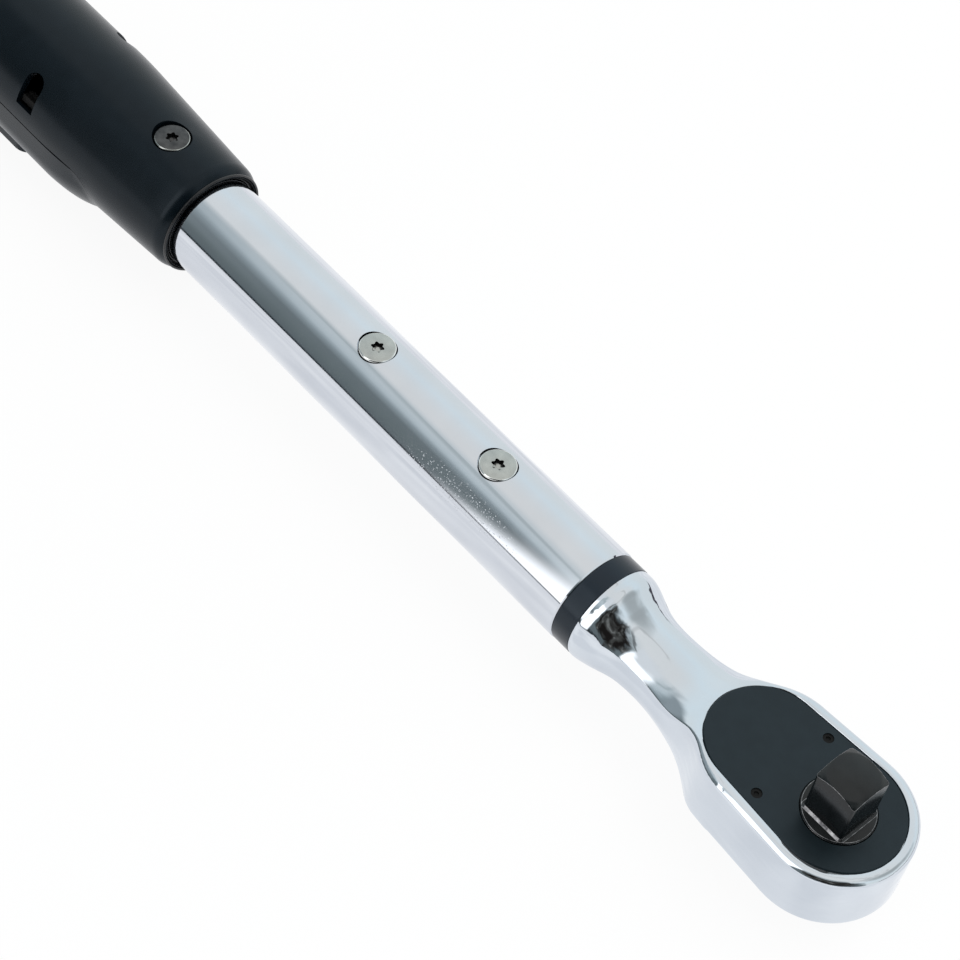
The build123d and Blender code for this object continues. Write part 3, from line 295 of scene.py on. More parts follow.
# %% Patches and thin lines
cloud = add_node(tree, "ShaderNodeTexNoise", Scale=4.5, Detail=3.0)
tree.links.new(ray, cloud.inputs["Vector"])
cloud = cloud.outputs["Fac"]

towards_grey = (0.55, 0.46, 0.70)
soft_grey = (0.48, 0.51, 0.51)
grey_patch = smooth_step(tree, nearness(tree, ray, towards_grey), start=0.90, end=1.0)
room = blend(tree, grey_patch, room, soft_grey)

table_line_tone = (0.07, 0.06, 0.08)
table_line = overlap(
    tree,
    smooth_step(tree, height, start=-0.02, end=0.005),
    smooth_step(tree, height, start=0.075, end=0.05),
    smooth_step(tree, across, start=0.1, end=0.2),
    smooth_step(tree, along, start=-0.15, end=0.12),
)
room = blend(tree, table_line, room, table_line_tone)

upper_line_tone = (0.12, 0.13, 0.13)
upper_line = overlap(
    tree,
    smooth_step(tree, height, start=0.885, end=0.900),
    smooth_step(tree, height, start=0.930, end=0.915),
    smooth_step(tree, along, start=-0.27, end=-0.20),
    spread(tree, near_side, low=0.22, high=0.80),
)
room = blend(tree, upper_line, room, upper_line_tone)

towards_dark = (0.60, -0.58, 0.56)
jitter = spread(tree, cloud, low=-0.14, high=0.14)
ragged = combine(tree, "ADD", nearness(tree, ray, towards_dark), jitter)
dark_patch = smooth_step(tree, ragged, start=0.82, end=0.93)
patch_tone = ramp(tree, cloud, [
    (0.48, (0.014, 0.012, 0.011)),
    (0.62, (0.08, 0.08, 0.075)),
    (0.70, (0.22, 0.22, 0.21)),
])
room = blend(tree, dark_patch, room, patch_tone)
print("room and patches with", len(tree.nodes), "nodes")

# %% [markdown]
# A bright screen stands in front of the dim wall. It makes the white streak on the tube and the
# white patches on the neck. Its foot has a dark edge and its top fades. Each of its sides is a
# plane through the wrench, so a nearness to that plane's direction cuts it.

# %% The bright screen
screen_white = (1.80, 1.80, 1.80)
screen = ramp(tree, height, [
    (0.00, (0.05, 0.05, 0.055)),
    (0.02, (0.30, 0.31, 0.32)),
    (0.05, screen_white),
    (0.84, screen_white),
    (0.90, (0.90, 0.92, 0.93)),
])
left_side = smooth_step(tree, nearness(tree, ray, (1, 0, -0.075)), start=-0.403, end=-0.362)
right_side = smooth_step(tree, nearness(tree, ray, (-1, 0, 0.15)), start=-0.02, end=0.06)
studio = blend(tree, overlap(tree, left_side, right_side, near_side), room, screen)
print("studio with", len(tree.nodes), "nodes")

# %% [markdown]
# The camera should see plain white behind the wrench, while the chrome and the light on the pieces
# come from the studio. Light Path tells the two kinds of ray apart.

# %% White behind the wrench
background = tree.nodes.new("ShaderNodeBackground")
plain_white = tree.nodes.new("ShaderNodeBackground")
plain_white.inputs["Color"].default_value = (1.0, 1.0, 1.0, 1.0)
pick = tree.nodes.new("ShaderNodeMixShader")
path = tree.nodes.new("ShaderNodeLightPath")
out = tree.nodes.new("ShaderNodeOutputWorld")
tree.links.new(studio, background.inputs["Color"])
tree.links.new(path.outputs["Is Camera Ray"], pick.inputs["Fac"])
tree.links.new(background.outputs["Background"], pick.inputs[1])
tree.links.new(plain_white.outputs["Background"], pick.inputs[2])
tree.links.new(pick.outputs["Shader"], out.inputs["Surface"])
print("world with", len(tree.nodes), "nodes")

# %% [markdown]
# The world alone lights softly from everywhere. One large lamp above the far side adds a gentle
# direction and a faint shadow. The polished pieces don't mirror it, since the photograph has no
# lamp in its chrome.

# %% A broad lamp
lamp_data = bpy.data.lights.new("soft_lamp", "AREA")
lamp_data.shape = "RECTANGLE"
lamp_data.size = 1.2
lamp_data.size_y = 0.8
lamp_data.energy = 6.0
lamp = bpy.data.objects.new("soft_lamp", lamp_data)
bpy.context.scene.collection.objects.link(lamp)
lamp_place = Vector((0.25, 0.35, 1.1))
lit_place = Vector((-0.2, 0, 0))
aim = (lit_place - lamp_place).to_track_quat("-Z", "Y")
lamp.matrix_world = Matrix.Translation(lamp_place) @ aim.to_matrix().to_4x4()
lamp.visible_glossy = False
print("lamp of", lamp_data.energy, "W")

# %% [markdown]
# ## The floor
#
# The tool rests on its display deck, its lowest face. The floor is one big square under it. Seen
# by the camera, or mirrored in the chrome, it is white: most of it glows and the rest is lit, so
# that a little of the tool's shadow stays. Where the chrome mirrors it, the glow is slightly
# uneven, because a tube that mirrors one flat white looks painted.

# %% Floor
floor_z = cad_box[0][2] - 0.02 * MM
floor_size = 4.0
floor_centre_x = -0.3
glow_share = 0.93
bm = bmesh.new()
bmesh.ops.create_grid(bm, x_segments=1, y_segments=1, size=floor_size)
bmesh.ops.translate(bm, verts=bm.verts, vec=(floor_centre_x, 0, floor_z))
floor_mesh = bpy.data.meshes.new("floor")
bm.to_mesh(floor_mesh)
bm.free()
floor = bpy.data.objects.new("floor", floor_mesh)
bpy.context.scene.collection.objects.link(floor)

material = bpy.data.materials.new("pale_floor")
material.use_nodes = True
tree = material.node_tree
tree.nodes.clear()
lit = tree.nodes.new("ShaderNodeBsdfDiffuse")
glow = tree.nodes.new("ShaderNodeEmission")
mix = tree.nodes.new("ShaderNodeMixShader")
path = tree.nodes.new("ShaderNodeLightPath")
out = tree.nodes.new("ShaderNodeOutputMaterial")
pale = ramp(tree, noise(tree, scale=6.0), [
    (0.0, (0.93, 0.93, 0.93)),
    (1.0, (0.97, 0.97, 0.97)),
])
uneven = ramp(tree, noise(tree, scale=22.0, detail=1.5), [
    (0.38, (0.89, 0.90, 0.93)),
    (0.62, (1.07, 1.07, 1.08)),
])
tone = blend(tree, path.outputs["Is Camera Ray"], uneven, (1.0, 1.0, 1.0))
seen = combine(tree, "MAXIMUM", path.outputs["Is Camera Ray"], path.outputs["Is Glossy Ray"])
tree.links.new(pale, lit.inputs["Color"])
tree.links.new(tone, glow.inputs["Color"])
tree.links.new(combine(tree, "MULTIPLY", seen, glow_share), mix.inputs["Fac"])
tree.links.new(lit.outputs["BSDF"], mix.inputs[1])
tree.links.new(glow.outputs["Emission"], mix.inputs[2])
tree.links.new(mix.outputs["Shader"], out.inputs["Surface"])
floor.data.materials.append(material)
print("floor at", round(floor_z / MM, 2), "mm")

# %% [markdown]
# ## Finishes
#
# The tool has two families of finish: bare or plated metal, and moulded plastic or rubber. Metal
# gets its look from a slightly uneven roughness and a tint, and from fine bumps where it isn't
# polished. The polished head gets wider, shallow waves instead, which a hand on a polishing wheel
# leaves, and which bend what the chrome mirrors.


# %% Metal finishes
def metal(name, dark, light, roughness, grain, pit=0.0):
    """Metal whose tint and polish vary; its bumps are six times finer, pit metres deep."""
    material, tree, shader = start_material(name, roughness[0], metallic=1.0)
    drift = noise(tree, grain, detail=3.0)
    tree.links.new(two_tone(tree, drift, dark, light), shader.inputs["Base Color"])
    tree.links.new(spread(tree, drift, *roughness), shader.inputs["Roughness"])
    if pit:
        bump(tree, shader, noise(tree, grain * 6), pit)
    return material


def add_waves(material, scale, depth, stretch):
    """Shallow unevenness of a hand-polished surface."""
    tree = material.node_tree
    shader = next(node for node in tree.nodes if node.type == "BSDF_PRINCIPLED")
    bump(tree, shader, noise(tree, scale, detail=2.5, stretch=stretch), depth)


chrome = metal(
    "chrome_plate", dark=(0.64, 0.685, 0.735), light=(0.67, 0.715, 0.765),
    roughness=(0.04, 0.08), grain=85,
)
add_waves(chrome, scale=130, depth=3.5e-4, stretch=(0.25, 1.0, 1.0))
nickel = metal(
    "nickel_plate", dark=(0.40, 0.415, 0.40), light=(0.50, 0.515, 0.49),
    roughness=(0.16, 0.26), grain=400, pit=3e-6,
)
dark_zinc = metal(
    "dark_zinc", dark=(0.055, 0.056, 0.058), light=(0.105, 0.105, 0.105),
    roughness=(0.20, 0.32), grain=400, pit=4e-6,
)
# A bright metal for the screws' rounded rims: a painted highlight.
painted_rim_highlight = metal(
    "painted_rim_highlight", dark=(0.80, 0.81, 0.79), light=(0.88, 0.89, 0.87),
    roughness=(0.12, 0.20), grain=400, pit=1e-6,
)
wear_and_highlight_steel = metal(
    "worn_edge_and_highlight", dark=(0.06, 0.06, 0.065), light=(0.42, 0.42, 0.43),
    roughness=(0.22, 0.34), grain=700, pit=2e-6,
)
ground_steel = metal(
    "ground_steel", dark=(0.30, 0.30, 0.31), light=(0.42, 0.42, 0.43),
    roughness=(0.25, 0.40), grain=500, pit=3e-6,
)
wire_steel = metal(
    "drawn_wire", dark=(0.40, 0.40, 0.41), light=(0.52, 0.52, 0.53),
    roughness=(0.2, 0.3), grain=800, pit=1e-6,
)
ball_steel = metal(
    "ball_steel", dark=(0.62, 0.63, 0.64), light=(0.68, 0.69, 0.70),
    roughness=(0.05, 0.10), grain=600, pit=1e-6,
)
contact_metal = metal(
    "contact_plate", dark=(0.58, 0.58, 0.54), light=(0.66, 0.66, 0.62),
    roughness=(0.2, 0.3), grain=300, pit=2e-6,
)
cell_can = metal(
    "cell_can", dark=(0.40, 0.41, 0.43), light=(0.46, 0.47, 0.50),
    roughness=(0.28, 0.38), grain=120, pit=2e-6,
)
print("metal finishes ready")

# %% [markdown]
# The tube is drawn steel under thin chrome. Drawing leaves long shallow ripples, which bend the
# mirrored room into streaks, and the plating has a patch of fine pits on its near flank, each a
# bright speck where the dark wall is mirrored. Both are bumps: one noise stretched along the tube
# for the ripples, and one very fine noise, cut off high and kept to that patch, for the pits.


# %% Chrome of the tube
def patch_round(tree, centre, stretch, radius):
    """1 near a place given in mm, 0 beyond a radius; the patch is longer along X by 1/stretch."""
    place = tree.nodes.new("ShaderNodeTexCoord")
    mapping = add_node(tree, "ShaderNodeMapping", Scale=(stretch, 1.0, 1.0))
    distance = tree.nodes.new("ShaderNodeVectorMath")
    distance.operation = "DISTANCE"
    distance.inputs[1].default_value = (centre[0] * stretch * MM, centre[1] * MM, centre[2] * MM)
    tree.links.new(place.outputs["Object"], mapping.inputs["Vector"])
    tree.links.new(mapping.outputs["Vector"], distance.inputs[0])
    return smooth_step(tree, distance.outputs["Value"], start=radius * MM, end=radius * 0.4 * MM)


ripple_depth = 4.5e-5
pit_depth = 9e-5
tube_chrome, tree, shader = start_material("tube_chrome", 0.07, metallic=1.0)
drift = noise(tree, scale=80.0, detail=3.0)
tint = two_tone(tree, drift, (0.64, 0.67, 0.715), (0.67, 0.70, 0.745))
polish = spread(tree, drift, low=0.05, high=0.09)
ripples = noise(tree, scale=140.0, detail=3.0, stretch=(0.015, 1.0, 1.0))
pits = smooth_step(tree, noise(tree, scale=2100.0, detail=0.0), start=0.71, end=0.80)
flank = patch_round(tree, centre=(-124.0, -11.9, 7.9), stretch=0.22, radius=5.0)
ripple_bump = add_node(tree, "ShaderNodeBump", Distance=ripple_depth, Strength=1.0)
pit_bump = add_node(tree, "ShaderNodeBump", Distance=pit_depth, Strength=1.0)
tree.links.new(tint, shader.inputs["Base Color"])
tree.links.new(polish, shader.inputs["Roughness"])
tree.links.new(ripples, ripple_bump.inputs["Height"])
tree.links.new(overlap(tree, pits, flank), pit_bump.inputs["Height"])
tree.links.new(ripple_bump.outputs["Normal"], pit_bump.inputs["Normal"])
tree.links.new(pit_bump.outputs["Normal"], shader.inputs["Normal"])
print("tube chrome ready")

# %% [markdown]
# Moulded plastic, blackened steel and rubber have a fine grain that breaks up the highlight, and a
# colour that drifts over larger patches. One function makes them all. The blacks of the housing,
# the plate and the ring look bluish in the photograph only where they catch light, so the tint
# goes into the highlight and hardly into the colour.


# %% Plastic, paint and rubber finishes
def moulded(name, dark, light, roughness, grain, depth, specular=0.35, highlight=(1.0, 1.0, 1.0)):
    """A fine grain, depth metres deep, and a colour that drifts over patches 12 times as wide."""
    material, tree, shader = start_material(name, roughness[0], specular=specular)
    drift = noise(tree, grain / 12)
    fine = noise(tree, grain, detail=3.0)
    tree.links.new(two_tone(tree, drift, dark, light), shader.inputs["Base Color"])
    tree.links.new(spread(tree, fine, *roughness), shader.inputs["Roughness"])
    bump(tree, shader, fine, depth)
    shader.inputs["Specular Tint"].default_value = (*highlight, 1.0)
    return material


cool = (0.74, 0.88, 1.0)
housing_black = moulded(
    "housing_black", dark=(0.0014, 0.0036, 0.0058), light=(0.0028, 0.0056, 0.0085),
    roughness=(0.24, 0.30), grain=2500, depth=1e-6, specular=0.25, highlight=cool,
)
plate_black = moulded(
    "plate_black", dark=(0.0022, 0.006, 0.008), light=(0.0040, 0.009, 0.0115),
    roughness=(0.32, 0.42), grain=3000, depth=2e-6, specular=0.44, highlight=cool,
)
ring_black = moulded(
    "ring_black", dark=(0.002, 0.005, 0.010), light=(0.004, 0.007, 0.013),
    roughness=(0.16, 0.24), grain=2500, depth=1.5e-6, specular=0.44, highlight=cool,
)
oxide_black = moulded(
    "black_oxide", dark=(0.003, 0.0042, 0.005), light=(0.010, 0.0125, 0.0135),
    roughness=(0.13, 0.22), grain=1800, depth=3e-6, specular=0.36,
)
# A matt near-black that paints shade: on the walls of the screw sockets, on the cover's hooks and
# on the cover screws.
painted_shade_dark = moulded(
    "painted_recess_shade", dark=(0.002, 0.002, 0.002), light=(0.006, 0.006, 0.006),
    roughness=(0.5, 0.7), grain=2500, depth=4e-6, specular=0.2,
)
lever_black = moulded(
    "lever_black", dark=(0.014, 0.014, 0.016), light=(0.02, 0.02, 0.022),
    roughness=(0.32, 0.45), grain=2500, depth=6e-6, specular=0.4,
)
seal_black = moulded(
    "seal_black", dark=(0.002, 0.002, 0.003), light=(0.005, 0.005, 0.006),
    roughness=(0.22, 0.34), grain=3000, depth=2e-6, specular=0.5,
)
grip_rubber = moulded(
    "grip_rubber", dark=(0.010, 0.010, 0.011), light=(0.018, 0.018, 0.019),
    roughness=(0.60, 0.78), grain=2200, depth=3e-5, specular=0.3,
)
button_rubber = moulded(
    "button_rubber", dark=(0.10, 0.105, 0.11), light=(0.13, 0.135, 0.14),
    roughness=(0.5, 0.65), grain=2500, depth=1e-5,
)
part_black = moulded(
    "part_black", dark=(0.012, 0.012, 0.012), light=(0.02, 0.02, 0.02),
    roughness=(0.4, 0.5), grain=1500, depth=5e-6,
)
print("outer finishes ready")

# %% [markdown]
# The parts inside the housing and the tube have the usual colours of their kind: a green board,
# copper-coloured foil gauges, a grey cable, red leads, and pale plastic round the cells.

# %% Finishes of the inner parts
board_green = moulded(
    "board_green", dark=(0.012, 0.085, 0.035), light=(0.018, 0.11, 0.045),
    roughness=(0.25, 0.35), grain=700, depth=3e-6,
)
gauge_foil = moulded(
    "gauge_foil", dark=(0.45, 0.26, 0.07), light=(0.60, 0.36, 0.10),
    roughness=(0.2, 0.3), grain=900, depth=2e-6,
)
cable_grey = moulded(
    "cable_grey", dark=(0.16, 0.16, 0.165), light=(0.21, 0.21, 0.215),
    roughness=(0.45, 0.55), grain=1500, depth=4e-6,
)
lead_red = moulded(
    "lead_red", dark=(0.30, 0.015, 0.01), light=(0.42, 0.025, 0.018),
    roughness=(0.4, 0.5), grain=1500, depth=4e-6,
)
liner_white = moulded(
    "liner_plastic", dark=(0.42, 0.42, 0.40), light=(0.50, 0.50, 0.48),
    roughness=(0.4, 0.5), grain=1200, depth=5e-6,
)
light_milky = moulded(
    "light_milky", dark=(0.62, 0.66, 0.64), light=(0.72, 0.75, 0.73),
    roughness=(0.15, 0.25), grain=900, depth=1e-6, specular=0.5,
)
lcd_face = moulded(
    "lcd_face", dark=(0.19, 0.22, 0.19), light=(0.23, 0.26, 0.225),
    roughness=(0.12, 0.2), grain=400, depth=1e-7, specular=0.5,
)
print("inner finishes ready")

# %% [markdown]
# The display window is clear plastic with a faint hard coat. Transmission would cost render time
# and leave the panel behind it noisy. So the window is a pale veil about a fifth opaque, with the
# gloss of plastic, and the rest of the light goes straight through.

# %% Clear window
window_clear, tree, shader = start_material("window_clear", 0.06, specular=0.5)
tint = two_tone(tree, noise(tree, scale=90.0), (0.80, 0.83, 0.84), (0.86, 0.88, 0.89))
polish = spread(tree, noise(tree, scale=200.0), low=0.04, high=0.09)
tree.links.new(tint, shader.inputs["Base Color"])
tree.links.new(polish, shader.inputs["Roughness"])
shader.inputs["Alpha"].default_value = 0.22
print("window ready")

# %% [markdown]
# ## From solids to pieces
#
# A solid comes in as loose triangles with flat shading. A copy of it, with its doubled corners
# merged and smooth shading broken only at real edges, already looks machined. The copy rides on the
# same body and stands for the solid.

# %% Helpers for pieces
body_of = {node: body for body, nodes in record["behaviour"]["bodies"].items() for node in nodes}


def merged_copy(node, distance=1e-7):
    """The solid's mesh as a bmesh with its doubles merged."""
    bm = bmesh.new()
    bm.from_mesh(solids[node].data)
    bmesh.ops.remove_doubles(bm, verts=bm.verts, dist=distance)
    return bm


def finish_piece(bm, name, node, materials, sharp=30.0):
    """Turn a bmesh into a piece that stands for a CAD node; faces pick their material by number."""
    for face in bm.faces:
        face.smooth = True
    limit = math.radians(sharp)
    for edge in bm.edges:
        edge.smooth = len(edge.link_faces) != 2 or edge.calc_face_angle() < limit
    mesh = bpy.data.meshes.new(name)
    bm.to_mesh(mesh)
    bm.free()
    for material in materials:
        mesh.materials.append(material)
    piece = bpy.data.objects.new(name, mesh)
    bpy.context.scene.collection.objects.link(piece)
    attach(piece, body_of[node])
    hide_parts(node)
    return piece


# %% [markdown]
# The moulded edges of the two housing halves are slightly rounded, so their seam reads as a dark
# line wider than the gap. A bevel along the whole seam would need clean edges, so the edges are
# only trimmed back by about a tenth of a millimetre, which gives the same line.
#
# The cover's hooks reach up behind the windows in the shell. Only dark shows there in the
# photograph, so the hooks' tongues are set further inwards and take a matt near-black finish that
# paints shade on them.

# %% Trim the seam and set the hooks back
seam_front = -275 * MM
seam_from_middle = 16 * MM
seam_trims = {"rear_shell": (0.0, 0.12 * MM), "display_cover": (-0.15 * MM, -0.14 * MM)}
hook_bottom = 0.3 * MM
tongue_bottom = 2.3 * MM
tongue_shift = 1.1 * MM


def trim_seam(bm, level, shift):
    """Move the outer corners that lie at the seam's level up or down."""
    rim = [
        vert
        for vert in bm.verts
        if abs(vert.co.z - level) < 0.01 * MM
        and abs(vert.co.y) > seam_from_middle
        and vert.co.x < seam_front
    ]
    bmesh.ops.translate(bm, verts=rim, vec=(0, 0, shift))
    return len(rim)


def set_hooks_back(bm):
    """Shift the tongues towards the middle; all faces of the hooks take material 1, a near-black
    that paints shade.
    """
    for vert in bm.verts:
        if vert.co.z > tongue_bottom:
            vert.co.y -= math.copysign(tongue_shift, vert.co.y)
    for face in bm.faces:
        face.material_index = int(face.calc_center_median().z > hook_bottom)


print("seam trims:", {node: round(shift / MM, 2) for node, (level, shift) in seam_trims.items()})

# %% [markdown]
# Most outer pieces need nothing more than such a copy and their finish. Faces that meet at less
# than 30 degrees are shaded as one surface. The ball is a coarser sphere, so its limit is wider.

# %% Copy the outer pieces
copies = {
    "cover_plate": plate_black,
    # The cover screws take the near-black whole, painted shade, so they read as dark dots.
    "cover_screws": painted_shade_dark,
    "trim_ring": ring_black,
    "main_tube": tube_chrome,
    "rear_shell": housing_black,
    "display_cover": housing_black,
    "grip_sleeve": grip_rubber,
    "battery_cap": part_black,
    "reverse_lever": lever_black,
    "detent_ball": ball_steel,
    "display_lens": window_clear,
}
for node, material in copies.items():
    bm = merged_copy(node)
    materials = [material]
    if node in seam_trims:
        print(node, trim_seam(bm, *seam_trims[node]), "corners trimmed")
    if node == "display_cover":
        set_hooks_back(bm)
        materials.append(painted_shade_dark)
    sharp = 60 if node == "detent_ball" else 30
    piece = finish_piece(bm, node + "_dressed", node, materials, sharp)
    print(piece.name, len(piece.data.polygons), "faces")

# %% [markdown]
# ## The pocket's rim
#
# A fine bright line runs round the cover plate in the photograph. It is the broken edge of the
# head's pocket, catching light. The copy of the head gets that edge from a bevel along the
# pocket's outline. A bevel follows real edges and not the diagonals of triangles, so the flat land
# round the pocket is first dissolved to whole faces, and large faces are cut up again at the end.


# %% Break the edge round the cover plate
same_plane = math.radians(0.4)


def bevel(bm, edges, width, segments, clamp=False):
    """Bevel edges and return the new faces; the operator's own defaults aren't the editor's."""
    return bmesh.ops.bevel(
        bm, geom=edges, offset=width, offset_type="OFFSET", segments=segments, profile=0.5,
        affect="EDGES", material=-1, clamp_overlap=clamp,
    )["faces"]


def cut_large_faces(bm):
    """Triangulate the faces with more than four corners."""
    bmesh.ops.triangulate(bm, faces=[face for face in bm.faces if len(face.verts) > 4])


def break_edge(bm, low, high, width):
    """Bevel the edges where a flat top meets an upright wall, between two heights."""
    land = [
        face
        for face in bm.faces
        if face.normal.z > 0.9999 and low < face.calc_center_median().z < high
    ]
    bmesh.ops.dissolve_limit(
        bm,
        angle_limit=same_plane,
        edges=list(dict.fromkeys(edge for face in land for edge in face.edges)),
        verts=list(dict.fromkeys(vert for face in land for vert in face.verts)),
    )
    rim = []
    for edge in bm.edges:
        if len(edge.link_faces) != 2 or any(not low < vert.co.z < high for vert in edge.verts):
            continue
        upright, level = sorted(abs(face.normal.z) for face in edge.link_faces)
        if upright < 0.2 and level > 0.97:
            rim.append(edge)
    bevel(bm, rim, width, segments=3)
    cut_large_faces(bm)
    return len(rim)


land_low = 9.3 * MM
land_high = 9.6 * MM
broken_width = 0.22 * MM
bm = merged_copy("ratchet_head", 0.01 * MM)
count = break_edge(bm, land_low, land_high, broken_width)
finish_piece(bm, "ratchet_head_dressed", "ratchet_head", [chrome])
print(count, "edges broken")

# %% [markdown]
# ## The drive square
#
# The square is blackened steel. Sockets have rubbed its outer edges bright: a thin line round the
# turned end, at its root and on the rim of the shoulder. A painted texture could show that. Here a
# bevel gives every sharp edge a narrow strip of its own, and the strips take a second, worn finish,
# so the light also breaks on them. The root chamfer's faces on the near side, towards -Y, take the
# same bright finish as a painted highlight.


# %% Wear the edges of the square
def wear_edges(bm, lowest, angle, width):
    """Bevel the sharp edges above a height; their strips take material 1."""
    bmesh.ops.dissolve_limit(bm, angle_limit=same_plane, verts=bm.verts, edges=bm.edges)
    sharp = [
        edge
        for edge in bm.edges
        if len(edge.link_faces) == 2
        and edge.calc_face_angle() > math.radians(angle)
        and min(vert.co.z for vert in edge.verts) > lowest
    ]
    strips = bevel(bm, sharp, width, segments=2, clamp=True)
    for face in strips:
        face.material_index = 1
    cut_large_faces(bm)
    return len(strips)


shoulder_z = 10.05 * MM
root_z = 10.66 * MM
worn_from = shoulder_z - 0.35 * MM
worn_width = 0.10 * MM
bm = merged_copy("drive_gear")
strips = wear_edges(bm, worn_from, angle=36, width=worn_width)
# The near faces of the root chamfer, those facing -Y, take the bright finish: a painted highlight.
for face in bm.faces:
    at_root = shoulder_z < face.calc_center_median().z < root_z
    on_near_chamfer = 0.5 < face.normal.z < 0.85 and face.normal.y < -0.5
    if at_root and on_near_chamfer:
        face.material_index = 1
finish_piece(bm, "drive_square_dressed", "drive_gear", [oxide_black, wear_and_highlight_steel], sharp=34)
print(strips, "worn strips on the drive")

# %% [markdown]
# ## Six-lobe screws
#
# A turned screw is a row of rings about one axis. The head's top face is a bridge between its outer
# circle and the lobed outline of the socket, which is a circle whose corners are scaled by a
# six-wave. The socket, the side and the shank are extruded from those two loops, and the rim is
# rounded with a bevel. The socket's walls take a near-black finish, which is painted shade, and the
# rounded rim takes a brighter metal, which is a painted highlight.


# %% Helpers for rings
def ring_of(bm, radius, wave=0.0, turn=0.0):
    """Circle of 72 corners at height 0; wave makes it six-lobed."""
    loop = bmesh.ops.create_circle(bm, segments=72, radius=radius)["verts"]
    for vert in loop:
        angle = math.atan2(vert.co.y, vert.co.x)
        vert.co.xy *= 1 + wave / radius * math.cos(6 * (angle - turn))
    return list(dict.fromkeys(edge for vert in loop for edge in vert.link_edges))


def step_down(bm, edges, to_height, to_radius=None):
    """Extrude a loop, lower it and, if asked, scale it to a radius; returns its new edges."""
    new = bmesh.ops.extrude_edge_only(bm, edges=edges)["geom"]
    for vert in (item for item in new if isinstance(item, bmesh.types.BMVert)):
        if to_radius is not None:
            vert.co.xy = vert.co.xy.normalized() * to_radius
        vert.co.z = to_height
    return [item for item in new if isinstance(item, bmesh.types.BMEdge)]


print("ring helpers ready")

# %% [markdown]
# All four screws have the same socket. Its wall goes straight down, and its floor is a shallow
# cone, as a punch leaves it.


# %% Model a lobed screw
socket_radius = 1.62 * MM
lobe_wave = 0.27 * MM
socket_depth = 1.6 * MM
cone_radius = 0.9 * MM
cone_depth = 1.75 * MM
tip_radius = 0.05 * MM
tip_depth = 2.1 * MM
rim_round = 0.55 * MM
dark_radius = 1.95 * MM
dark_top = -0.25 * MM
dark_bottom = -2.2 * MM
rim_inside = 0.88
rim_bottom = -0.45 * MM


def lobed_screw(bm, centre, turn, head_radius, head_height, shank_radius, length):
    """Screw whose head's top is at centre, its shank along -Z."""
    screw = bmesh.new()
    outer = ring_of(screw, head_radius)
    lobes = ring_of(screw, socket_radius, lobe_wave, math.radians(turn))
    bmesh.ops.bridge_loops(screw, edges=outer + lobes)
    socket = step_down(screw, lobes, -socket_depth)
    socket = step_down(screw, socket, -cone_depth, cone_radius)
    socket = step_down(screw, socket, -tip_depth, tip_radius)
    shank = step_down(screw, outer, -head_height)
    shank = step_down(screw, shank, -head_height, shank_radius)
    shank = step_down(screw, shank, -length)
    for loop in (socket, shank):
        bmesh.ops.contextual_create(screw, geom=loop)
    bmesh.ops.recalc_face_normals(screw, faces=screw.faces)
    rim = [
        edge
        for edge in screw.edges
        if all(abs(v.co.z) < 1e-7 and v.co.xy.length > head_radius * 0.99 for v in edge.verts)
    ]
    bevel(screw, rim, rim_round, segments=4)
    # Socket walls take material 1, painted shade; rim faces take material 2, a painted highlight.
    for face in screw.faces:
        middle = face.calc_center_median()
        in_socket = middle.xy.length < dark_radius and dark_bottom < middle.z < dark_top
        on_rim = middle.xy.length > head_radius * rim_inside and middle.z > rim_bottom
        if in_socket and abs(face.normal.z) < 0.5:
            face.material_index = 1
        elif on_rim and face.normal.z < 0.95:
            face.material_index = 2
    bmesh.ops.translate(screw, verts=screw.verts, vec=centre)
    mesh = bpy.data.meshes.new("one_screw")
    screw.to_mesh(mesh)
    screw.free()
    bm.from_mesh(mesh)
    bpy.data.meshes.remove(mesh)


print("socket", round(2 * (socket_radius + lobe_wave) / MM, 2), "mm across its lobes")

# %% [markdown]
# Two bright screws go through the wall of the tube into the shank of the head, flush with the
# tube's crest. Two dark ones hold the housing together, each in its own recess. The turn of a
# socket, in degrees, is where that screw stopped when it was tightened.

# %% Place the four screws
tube_screws = bmesh.new()
for x in (-124.1, -171.9):
    lobed_screw(
        tube_screws, centre=(x * MM, 0, 14.2 * MM), turn=30,
        head_radius=5.14 * MM, head_height=2.6 * MM, shank_radius=3.0 * MM, length=15.3 * MM,
    )
# The tube screws: painted shade on the socket walls, a painted highlight on the rims.
bright = [nickel, painted_shade_dark, painted_rim_highlight]
finish_piece(tube_screws, "tube_screws_dressed", "tube_screws", bright)

housing_screws = bmesh.new()
for x, top, turn in ((-259.7, 17.9, 10), (-410.0, 16.9, 40)):
    lobed_screw(
        housing_screws, centre=(x * MM, 0, top * MM), turn=turn,
        head_radius=5.09 * MM, head_height=2.4 * MM, shank_radius=2.0 * MM, length=5.0 * MM,
    )
# The housing screws: painted shade on the socket walls, and the brighter nickel on the rims as a
# painted highlight.
dark = [dark_zinc, painted_shade_dark, nickel]
finish_piece(housing_screws, "housing_screws_dressed", "housing_screws", dark)
print("four screws modelled")

# %% [markdown]
# ## The seal in the housing's mouth
#
# A rubber ring closes the gap between the housing and the tube. It shows as a thin lip beside a
# deep groove, with a smaller lip that meets the tube. One closed outline is spun once round the
# tube. It is a chain of points, each a place along the tube and a radius in mm.

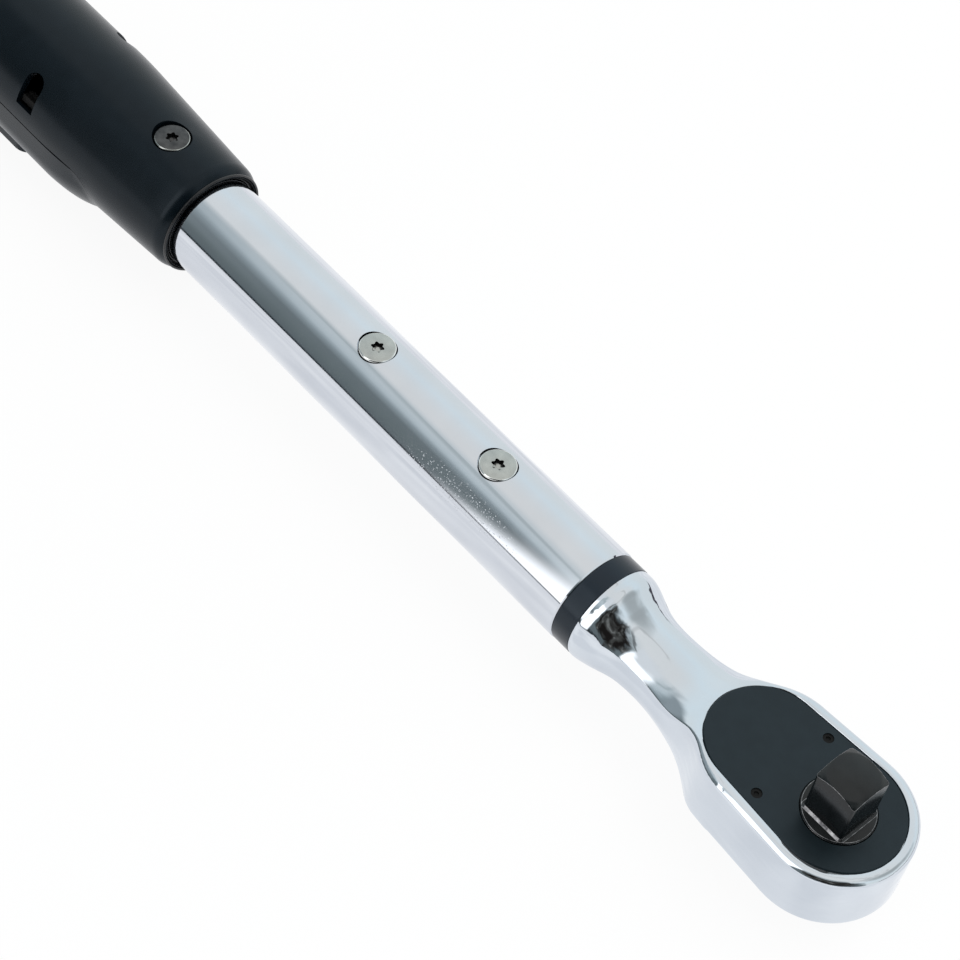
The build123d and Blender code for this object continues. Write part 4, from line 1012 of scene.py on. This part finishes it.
# %% Spin the seal
seal_outline = [
    (-246.5, 14.42), (-246.5, 15.40), (-241.7, 15.40), (-241.45, 15.75), (-241.3, 16.45),
    (-240.95, 16.55), (-240.70, 16.45), (-240.62, 16.25), (-240.72, 16.02), (-241.1, 15.85),
    (-242.4, 15.60), (-242.6, 15.40), (-242.5, 15.10), (-241.9, 14.95), (-241.65, 14.75),
    (-241.7, 14.52), (-241.9, 14.42),
]
bm = bmesh.new()
points = [bm.verts.new((x * MM, 0, radius * MM)) for x, radius in seal_outline]
outline = [bm.edges.new(pair) for pair in zip(points, points[1:] + points[:1])]
bmesh.ops.spin(
    bm, geom=points + outline, cent=(0, 0, 0), axis=(1, 0, 0), angle=math.tau, steps=128,
    use_merge=True, use_duplicate=False,
)
bmesh.ops.remove_doubles(bm, verts=bm.verts, dist=1e-7)
bmesh.ops.recalc_face_normals(bm, faces=bm.faces)
finish_piece(bm, "mouth_seal_dressed", "mouth_seal", [seal_black], sharp=60)
print("seal with", len(seal_outline), "points in its outline")

# %% [markdown]
# ## Two springs
#
# Two coil springs stand behind pieces that a hand can press: the ball on the square and the plunger
# under the pawl. A coil spring rests on its seat with one end and closes up evenly. Here each
# spring only gets a smooth copy in drawn wire with a mesh of its own; the axis of its joint is read
# and the place of each corner along it is taken, but the copy is not squashed.

# %% Copy two springs
joints = {joint["name"]: joint for joint in record["behaviour"]["joints"]}
seats = {
    "detent_spring": ("detent_press", (0, 0.75 * MM, 0)),
    "plunger_spring": ("plunger_slide", (-32.149 * MM, -1.408 * MM, 0.45 * MM)),
}
for node, (joint_name, seat) in seats.items():
    joint = joints[joint_name]
    axis = Vector(joint["axis"]).normalized()
    bm = merged_copy(node)
    along = [vert.co.dot(axis) for vert in bm.verts]
    piece = finish_piece(bm, node + "_dressed", node, [wire_steel], sharp=60)
    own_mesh(piece)

# %% [markdown]
# ## Pieces that keep their solid
#
# The buttons, and what is out of sight inside the tool, keep their own mesh and only take a finish.

# %% Finish the remaining solids
finishes = {
    "pawl": ground_steel,
    "pawl_pin": ground_steel,
    "pawl_plunger": ground_steel,
    "lever_clip": wire_steel,
    "strain_gauges": gauge_foil,
    "gauge_cable": cable_grey,
    "lcd_panel": lcd_face,
    "main_board": board_green,
    "board_screws": nickel,
    "key_switches": contact_metal,
    "buzzer": part_black,
    "light_pipes": light_milky,
    "battery_tube": liner_white,
    "front_battery": cell_can,
    "rear_battery": cell_can,
    "front_contact": contact_metal,
    "battery_leads": lead_red,
    "cap_o_ring": seal_black,
    "cap_spring": wire_steel,
    "button_power": button_rubber,
    "button_mode": button_rubber,
    "button_up": button_rubber,
    "button_down": button_rubber,
}
for node, material in finishes.items():
    solid = solids[node]
    for slot in solid.material_slots:
        slot.material = material
    if not solid.material_slots:
        solid.data.materials.append(material)
print(len(finishes), "solids keep their shape out of", len(solids))
